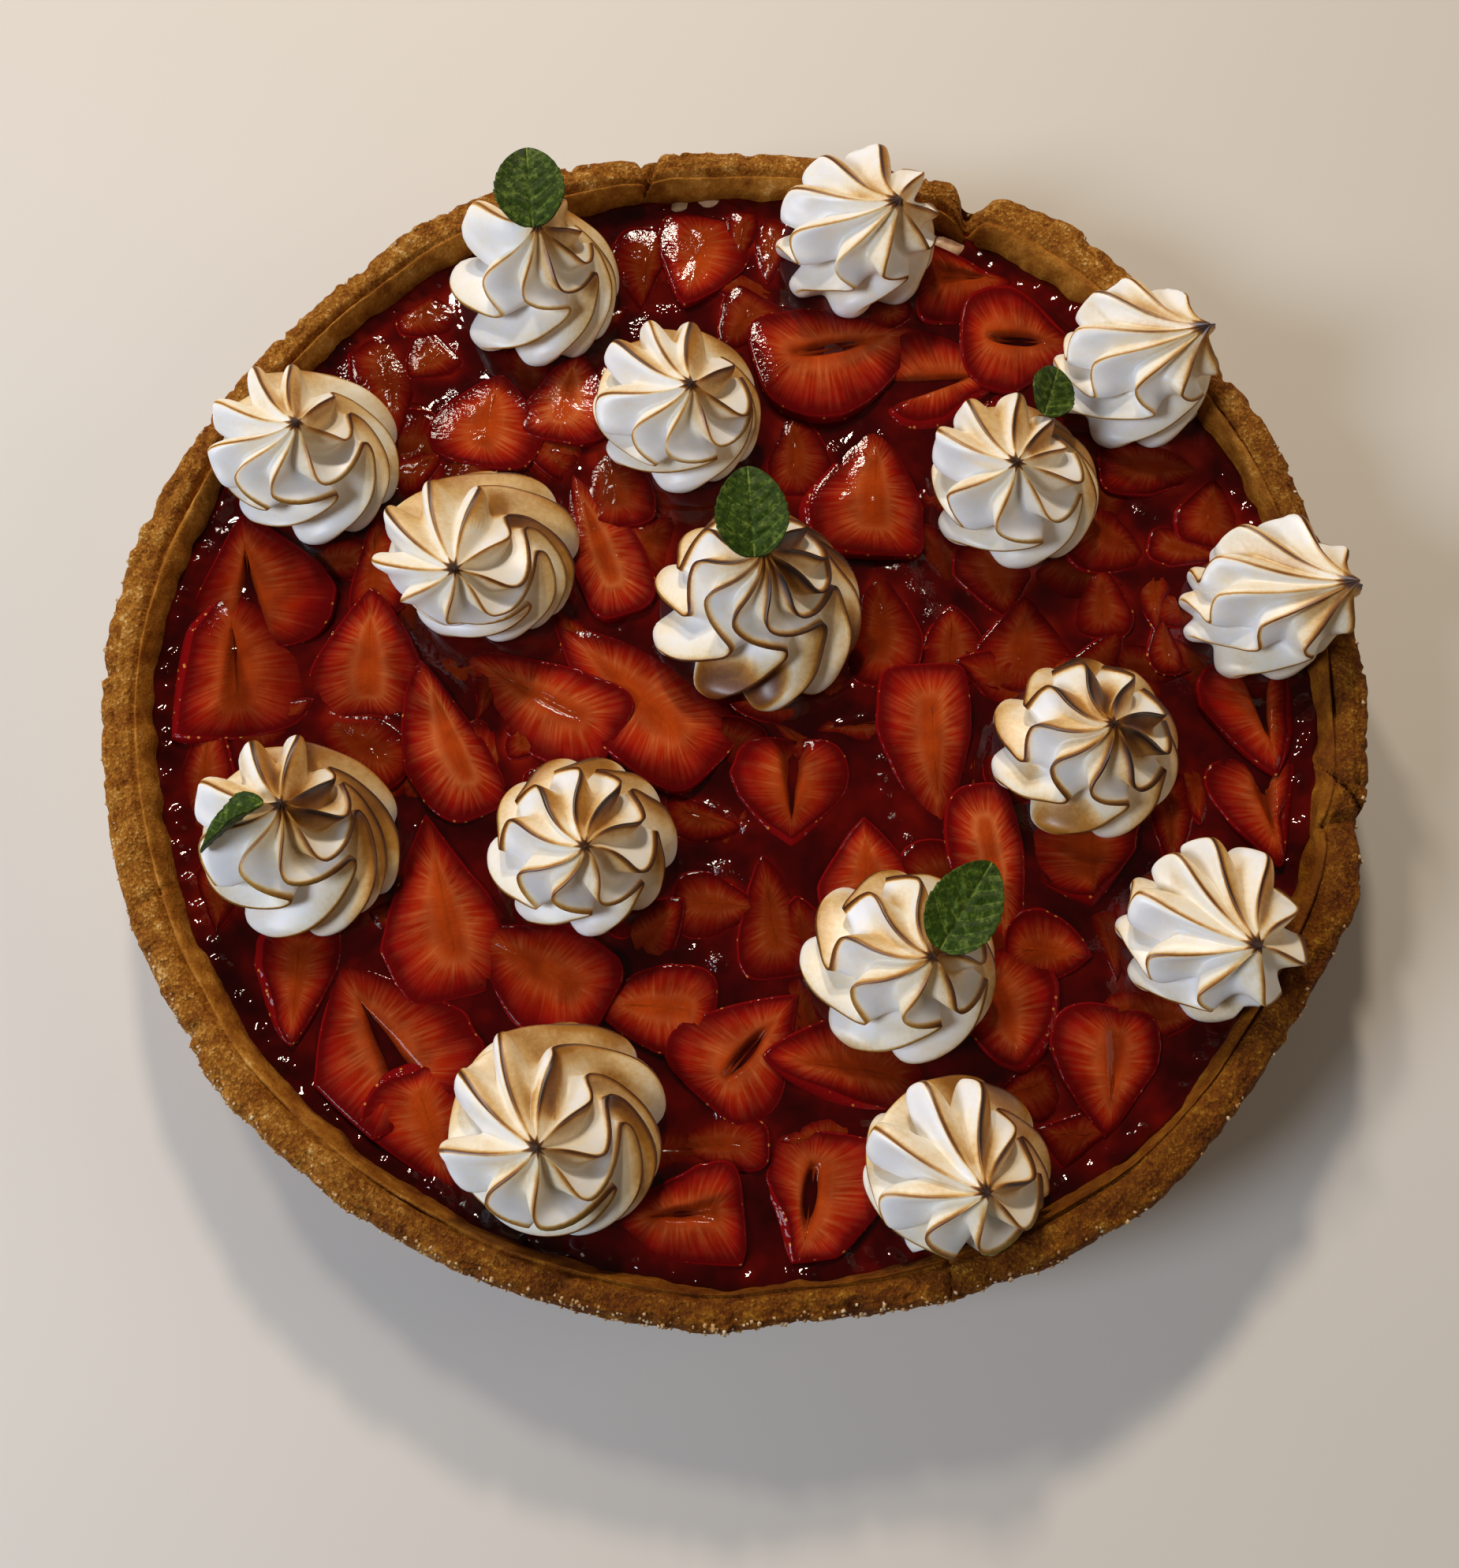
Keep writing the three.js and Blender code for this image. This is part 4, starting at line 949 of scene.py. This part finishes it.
berryLook = berryMaterial()
for index, row in enumerate(berrySlices):
    points, faces, floats = berrySurface(row, 500 + index, berryForm["foot"], berryForm["top"],
                                         berryForm["around"], berryForm["rings"], berryForm["grown"])
    meshPiece("berryCut%02d" % (index + 1), points, faces, berryLook,
              "strawberry_%02d" % (index + 1), "strawberry", floats)
for index, row in enumerate(sunkSlices):
    points, faces, floats = berrySurface(row + (sunkForm["tone"], 0.3, 0.0, 0.0, None), 560 + index,
                                         sunkForm["foot"], sunkForm["top"], sunkForm["around"],
                                         sunkForm["rings"], sunkForm["grown"])
    meshPiece("berrySunk%02d" % (index + 1), points, faces, berryLook, "jelly", "red_glaze", floats)
lifts = np.random.default_rng(22).uniform(-1, 1, bedForm["count"]) * bedForm["spread"]
bed = joined([berrySurface(row, 620 + index, sunkForm["foot"], bedForm["top"] + lift,
                           bedForm["around"], bedForm["rings"], 1.0)
              for index, (row, lift) in enumerate(zip(bedRows(), lifts))])
meshPiece("berryBed", *bed[:2], berryLook, "jelly", "red_glaze", bed[2])
print("strawberries cut")

# glaze, poured between everything and drawn up where it touches
glazeForm = {
    "level": 27.5,
    "foot": 17.5,
    "edge": 133.2,         # hidden in the crust
    "wall": 129.9,         # where it meets the crust
    "climb": (1.0, 1.25),  # height and width of the glaze drawn up the crust
    "middle": 114,         # radius of the even part of the mesh
    "step": 1.0,           # between its rings
    "wallRings": 29,       # finer rings from there to the edge, with this many points each
    "wallPoints": 1000,
    "draw": 0.45,          # height of the drawn up rim against a slice
    "drawWidth": 1.1,
    # rolls of glaze along the slices: from x, y to x, y
    "rolls": [
        (2, -21, 5, -19), (-3, -20, -4, -23), (-7, -30, -1, -32), (-1, -32, 4, -36), (-10, -44, -1, -45),
        (-1, -45, 6, -40), (16, -40, 15, -50), (-13, -64, -7, -63), (-7, -63, 2, -67), (32, -13, 33, -27),
        (21, 60, 23, 56), (19, 51, 22, 45), (31, 28, 39, 30), (40, 24, 44, 17), (39, 8, 44, 10),
        (21, -5, 27, -1), (23, -10, 30, -8), (-26, 11, -24, 21),
    ],
    "roll": (0.9, 0.62),   # half width, height
    # small swells that catch the light: x, y, half width, height
    "drops": [
        (54, 7, 2.2, 0.8), (55, 2, 1.6, 0.7), (52, 9, 1.2, 0.5), (37, 29, 1.8, 0.7), (40, 27, 1.2, 0.6),
        (43, 23, 1.4, 0.6), (45, 18, 1.8, 0.7), (46, 15, 1.0, 0.5), (28, 73, 1.4, 0.6), (22, 60, 1.4, 0.6),
        (94, 46, 1.8, 0.6), (97, 45, 1.0, 0.5), (112, 63, 1.6, 0.6), (116, 72, 1.4, 0.5), (-76, 60, 1.4, 0.6),
        (-74, 67, 1.2, 0.5), (-2, -45, 1.6, 0.7), (3, -46, 1.2, 0.6), (-2, -66, 1.6, 0.7), (0, -97, 1.2, 0.6),
        (33, -18, 1.0, 0.6), (33.5, -22, 1.0, 0.6), (34, -26, 1.0, 0.6), (36, -32, 1.1, 0.6),
        (39, -36, 1.1, 0.6), (-4, -31, 1.1, 0.6), (-1, -33, 1.1, 0.6), (3, -35, 1.1, 0.6),
    ],
    "beads": 180,          # round the wall, about 4.5 mm apart
    "beadRing": 129.0,
    "bead": (1.1, 1.7),    # least and most half width
    "beadSlope": 0.64,     # height for its half width
}


def sliceDistance(row, px, py):
    # rough distance outside (above zero) or inside (below zero) a slice's outline
    shoulder, along, aside, length = sliceAxes(row)
    forward = (px - shoulder[0]) * along[0] + (py - shoulder[1]) * along[1]
    side = np.abs((px - shoulder[0]) * aside[0] + (py - shoulder[1]) * aside[1])
    part = np.clip(forward / length, 0.04, 0.96)
    beyond = np.maximum(np.maximum(-forward, forward - length), 0)
    across = side - sliceHalfWidth(part, row[4])
    return np.where(beyond > 0, np.hypot(np.maximum(across, 0), beyond), across)


def glazeGrid():
    # rings of cells of about the same size, closer at the wall
    points = [[0.0, 0.0]]
    faces = []
    middle = glazeForm["middle"]
    inside = int(middle / glazeForm["step"])
    outside = glazeForm["wallRings"]
    radii = list(middle * np.arange(1, inside + 1) / inside)
    radii += list(np.linspace(middle, glazeForm["edge"], outside + 1)[1:])
    counts = [6 * i for i in range(1, inside + 1)] + [glazeForm["wallPoints"]] * outside
    # low and start: first point of the ring inside and of this ring
    low, lowCount, start = 0, 1, 1
    for i, (r, count) in enumerate(zip(radii, counts)):
        turn = 2 * np.pi * np.arange(count) / count
        points.extend(np.column_stack([r * np.cos(turn), r * np.sin(turn)]).tolist())
        if i == 0:
            faces.extend([(0, start + j, start + (j + 1) % count) for j in range(count)])
        else:
            a = 0
            for j in range(count):
                faces.append((low + a % lowCount, start + j, start + (j + 1) % count))
                if (j + 1) * lowCount / count > a + 0.5 and a < lowCount:
                    faces.append((low + a % lowCount, start + (j + 1) % count, low + (a + 1) % lowCount))
                    a += 1
        low, lowCount = start, count
        start += count
    return np.array(points), np.array(faces)


def glazeHeight(rng, px, py, u, v):
    nearest = np.full(len(px), 99.0)
    for row in berrySlices:
        nearest = np.minimum(nearest, np.abs(sliceDistance(row, px, py)))
    for row in meringues:
        nearest = np.minimum(nearest, np.abs(np.hypot(px - row[0], py - row[1]) - 0.86 * row[2]))
    toWall = glazeForm["wall"] + innerEdge(np.degrees(np.arctan2(py, px))) - np.hypot(px, py)
    ripple = 0.14 * smoothNoise(rng, u, v, 26, 26) + 0.05 * smoothNoise(rng, u, v, 70, 70)
    ripple += 0.015 * smoothNoise(rng, u, v, 160, 160)
    z = glazeForm["level"] + ripple + glazeForm["draw"] * np.exp(-nearest / glazeForm["drawWidth"])
    climb, climbWidth = glazeForm["climb"]
    z += climb * np.exp(-np.maximum(toWall, -0.2) / climbWidth) * (0.8 + 0.5 * smoothNoise(rng, u, v, 50, 50))
    for x, y, half, high in glazeForm["drops"]:
        z += high * np.exp(-((px - x) ** 2 + (py - y) ** 2) / half ** 2)
    least, most = glazeForm["bead"]
    draws = rng.uniform((-0.4, 0, 0), (0.4, 1, 1), (glazeForm["beads"], 3))
    for i, (shift, inward, growth) in enumerate(draws):
        way = 2 * np.pi * (i + shift) / glazeForm["beads"]
        r = glazeForm["beadRing"] + float(innerEdge(np.array(math.degrees(way)))) - 1.6 * inward ** 2
        half = least + growth * (most - least)
        near = np.hypot(px - r * math.cos(way), py - r * math.sin(way)) / half
        z += glazeForm["beadSlope"] * half * np.exp(-near ** 2)
    half, high = glazeForm["roll"]
    for x, y, endX, endY in glazeForm["rolls"]:
        part = ((px - x) * (endX - x) + (py - y) * (endY - y)) / ((endX - x) ** 2 + (endY - y) ** 2)
        part = np.clip(part, 0, 1)
        near = np.hypot(px - x - part * (endX - x), py - y - part * (endY - y))
        z += high * np.exp(-(near / half) ** 2)
    return z


def glazeSurface():
    rng = np.random.default_rng(8)
    flat, faces = glazeGrid()
    px, py = flat.T
    u = (px + 130) / 260
    v = (py + 130) / 260
    z = glazeHeight(rng, px, py, u, v)
    # pale over sunk fruit, frothy at the drops and in a few other places
    covered = np.full(len(flat), 99.0)
    for row in sunkSlices:
        covered = np.minimum(covered, sliceDistance(row, px, py))
    shallow = np.exp(-np.maximum(covered, 0) / 2.0) * (0.6 + 0.4 * smoothNoise(rng, u, v, 60, 60))
    froth = np.zeros(len(flat))
    for x, y, half, high in glazeForm["drops"]:
        froth = np.maximum(froth, np.exp(-((px - x) ** 2 + (py - y) ** 2) / (1.5 * half) ** 2))
    froth = froth + 0.4 * ease(0.45, 0.8, smoothNoise(rng, u, v, 40, 40))
    # side and foot, to close the body
    count = glazeForm["wallPoints"]
    first = len(flat) - count
    side = np.column_stack([px[first:], py[first:], np.full(count, glazeForm["foot"])])
    j = np.arange(count)
    n = (j + 1) % count
    base = len(flat)
    walls = np.stack([first + j, base + j, base + n, first + n], axis=-1)
    foot = np.stack([np.full(count, base + count), base + n, base + j], axis=-1)
    points = np.vstack([np.column_stack([px, py, z]), side, [[0, 0, glazeForm["foot"]]]])
    floats = {name: np.append(np.clip(value, 0, 1), np.zeros(count + 1))
              for name, value in (("shallow", shallow), ("froth", froth))}
    return points, [faces, walls, foot], floats


def glazeMaterial():
    # fruit syrup with pectin, poured warm and set: deep red, darkest where nothing lies close
    # below, with small hard glints
    material, tree, output = newMaterial("clear red glaze, poured and set")
    shallow = addNode(tree, "ShaderNodeAttribute", {"attribute_name": "shallow"})
    place = addNode(tree, "ShaderNodeTexCoord")
    cloud = addNode(tree, "ShaderNodeTexNoise", {"Scale": perMetre(11), "Detail": 3.0},
                    {"Vector": place.outputs["Object"]})
    ripple = addNode(tree, "ShaderNodeTexNoise", {"Scale": perMetre(2.4), "Detail": 2.0},
                     {"Vector": place.outputs["Object"]})
    level = addNode(tree, "ShaderNodeMath", {"operation": "MULTIPLY_ADD", 1: 0.45},
                    {0: shallow.outputs["Fac"], 2: cloud.outputs["Fac"]})
    colour = colourRamp(tree, level.outputs[0], [
        (0.30, "#280101"), (0.50, "#3c0202"), (0.70, "#560502"), (1.0, "#781506")])
    # froth in some places breaks the light up
    bubbles = addNode(tree, "ShaderNodeTexNoise", {"Scale": perMetre(0.77), "Detail": 1.0},
                      {"Vector": place.outputs["Object"]})
    froth = addNode(tree, "ShaderNodeAttribute", {"attribute_name": "froth"})
    calm = addNode(tree, "ShaderNodeMath", {"operation": "MULTIPLY", 1: 0.12}, {0: ripple.outputs["Fac"]})
    height = addNode(tree, "ShaderNodeMath", {"operation": "MULTIPLY_ADD"},
                     {0: bubbles.outputs["Fac"], 1: froth.outputs["Fac"], 2: calm.outputs[0]})
    bump = addNode(tree, "ShaderNodeBump", {"Strength": 1.0, "Distance": 0.0004},
                   {"Height": height.outputs[0]})
    shader = addNode(tree, "ShaderNodeBsdfPrincipled", {
        "Roughness": 0.6, "Specular IOR Level": 0.0, "Coat Weight": 1.0, "Coat Roughness": 0.04,
        "Coat IOR": 1.45,
    }, {"Base Color": colour, "Coat Normal": bump.outputs["Normal"]})
    tree.links.new(shader.outputs[0], output.inputs[0])
    return material


points, faces, floats = glazeSurface()
meshPiece("glazePool", points, faces, glazeMaterial(), "jelly", "red_glaze", floats)
print("glaze poured")

# mint: stalk end x, y, z, heading, rise, roll, length, width, curl
leaves = [
    (-50.9, 99.2, 55.0, 98, 12, 0, 20.5, 16, 2.2),
    (2.6, 16.3, 57.0, 96, 10, 0, 21, 15.5, 2.0),
    (68, 60.5, 45.9, 72, -6, 20, 15, 11, 1.4),
    (-95.5, -41, 54.7, 204, -24, 40, 19, 9, 2.6),
    (42, -66, 52.5, 60, 8, 0, 21, 14.5, 1.8),
]
leafForm = {
    "thickness": 0.5,
    "along": 64,
    "across": 32,
    "teeth": 9,
    "tooth": 0.05,         # part of the half width
    "veins": 6,
    "slant": 1.7,          # how far a vein runs towards the tip on its way out
    "quilt": 0.42,         # height of the leaf between two veins
}


def leafSurface(row):
    x, y, z, heading, rise, roll, length, width, curl = row
    along = leafForm["along"]
    across = leafForm["across"]
    part, out = np.meshgrid(np.linspace(0.01, 0.998, along), np.linspace(-1, 1, across), indexing="ij")
    half = width / 2 * np.sin(np.pi * part ** 0.82) ** 0.55
    # teeth along the edge, all towards the tip
    saw = (part * leafForm["teeth"]) % 1
    half = half * (1 + leafForm["tooth"] * saw * np.sin(np.pi * np.clip(part * 1.1, 0, 1)))
    # veins bend towards the tip on their way out, and the leaf swells between them
    spread = half / (width / 2)
    side = np.abs(out) * spread
    vein = part * leafForm["veins"] - leafForm["slant"] * (0.6 * side + 0.5 * side ** 2)
    quilt = leafForm["quilt"] * 0.5 * (1 - np.cos(2 * np.pi * vein)) * (1 - out ** 2) * spread
    midrib = -0.5 * np.exp(-(out * half / 0.45) ** 2) * spread
    wave = 0.5 * np.sin(9 * part) * out * out * spread
    height = curl * (out * spread) ** 2 - curl * part * part + wave + quilt + midrib
    flat = np.stack([length * part, half * out, height], axis=-1)
    # upper side, lower side and the edge between them
    i, j = np.meshgrid(np.arange(along - 1), np.arange(across - 1), indexing="ij")
    a = (i * across + j).ravel()
    top = np.stack([a, a + across, a + across + 1, a + 1], axis=-1)
    count = along * across
    under = np.stack([a + 1, a + across + 1, a + across, a], axis=-1) + count
    border = np.concatenate([np.arange(across), np.arange(1, along) * across + across - 1,
                             (along - 1) * across + np.arange(across - 2, -1, -1),
                             np.arange(along - 2, 0, -1) * across])
    after = np.roll(border, -1)
    edge = np.stack([border, after, after + count, border + count], axis=-1)
    upper = flat.reshape(-1, 3)
    lower = upper - np.array((0, 0, leafForm["thickness"]))
    body = np.vstack([upper, lower])
    r, p, h = np.radians((roll, -rise, heading))
    turnX = np.array(((1, 0, 0), (0, math.cos(r), -math.sin(r)), (0, math.sin(r), math.cos(r))))
    turnY = np.array(((math.cos(p), 0, math.sin(p)), (0, 1, 0), (-math.sin(p), 0, math.cos(p))))
    turnZ = np.array(((math.cos(h), -math.sin(h), 0), (math.sin(h), math.cos(h), 0), (0, 0, 1)))
    body = body @ (turnZ @ turnY @ turnX).T + np.array((x, y, z))
    floats = {"veinTurn": vein, "ribGap": np.abs(out) * half}
    return body, [top, under, edge], {name: np.tile(value.ravel(), 2) for name, value in floats.items()}


def leafMaterial():
    # fresh leaves: dark and half matt, with pale sunk veins and a skin blistered in cells of
    # about 1 mm
    material, tree, output = newMaterial("fresh mint, quilted and half matt")
    turn = addNode(tree, "ShaderNodeAttribute", {"attribute_name": "veinTurn"})
    gap = addNode(tree, "ShaderNodeAttribute", {"attribute_name": "ribGap"})
    place = addNode(tree, "ShaderNodeTexCoord")
    part = addNode(tree, "ShaderNodeMath", {"operation": "PINGPONG", 1: 0.5}, {0: turn.outputs["Fac"]})
    sideVein = addNode(tree, "ShaderNodeMapRange", {"interpolation_type": "SMOOTHSTEP", "From Min": 0.09,
                                                    "From Max": 0.0}, {"Value": part.outputs[0]})
    rib = addNode(tree, "ShaderNodeMapRange", {"interpolation_type": "SMOOTHSTEP", "From Min": 0.28,
                                               "From Max": 0.06}, {"Value": gap.outputs["Fac"]})
    soft = addNode(tree, "ShaderNodeMath", {"operation": "MULTIPLY", 1: 0.32}, {0: sideVein.outputs[0]})
    vein = addNode(tree, "ShaderNodeMath", {"operation": "MAXIMUM"}, {0: soft.outputs[0], 1: rib.outputs[0]})
    net = addNode(tree, "ShaderNodeTexVoronoi", {"feature": "DISTANCE_TO_EDGE", "Scale": perMetre(1.05)},
                  {"Vector": place.outputs["Object"]})
    blister = addNode(tree, "ShaderNodeMapRange", {"interpolation_type": "SMOOTHSTEP", "From Max": 0.4},
                      {"Value": net.outputs["Distance"]})
    cloud = addNode(tree, "ShaderNodeTexNoise", {"Scale": perMetre(1.7), "Detail": 2.0},
                    {"Vector": place.outputs["Object"]})
    patch = addNode(tree, "ShaderNodeMath", {"operation": "MULTIPLY_ADD", 1: -0.12},
                    {0: blister.outputs[0], 2: cloud.outputs["Fac"]})
    level = addNode(tree, "ShaderNodeMath", {"operation": "MULTIPLY_ADD", 1: 0.42},
                    {0: vein.outputs[0], 2: patch.outputs[0]})
    colour = colourRamp(tree, level.outputs[0], [(0.2, "#1a2a00"), (0.5, "#2e4202"), (0.95, "#7c8e3a")])
    height = addNode(tree, "ShaderNodeMath", {"operation": "SUBTRACT"},
                     {0: blister.outputs[0], 1: vein.outputs[0]})
    bump = addNode(tree, "ShaderNodeBump", {"Strength": 0.3, "Distance": 0.0002},
                   {"Height": height.outputs[0]})
    shader = addNode(tree, "ShaderNodeBsdfPrincipled", {"Roughness": 0.55, "Specular IOR Level": 0.16},
                     {"Base Color": colour, "Normal": bump.outputs["Normal"]})
    tree.links.new(shader.outputs[0], output.inputs[0])
    return material


leafLook = leafMaterial()
for index, row in enumerate(leaves):
    points, faces, floats = leafSurface(row)
    meshPiece("mintBlade%02d" % (index + 1), points, faces, leafLook,
              "mint_leaf_%02d" % (index + 1), "mint", floats)
print("mint laid on")
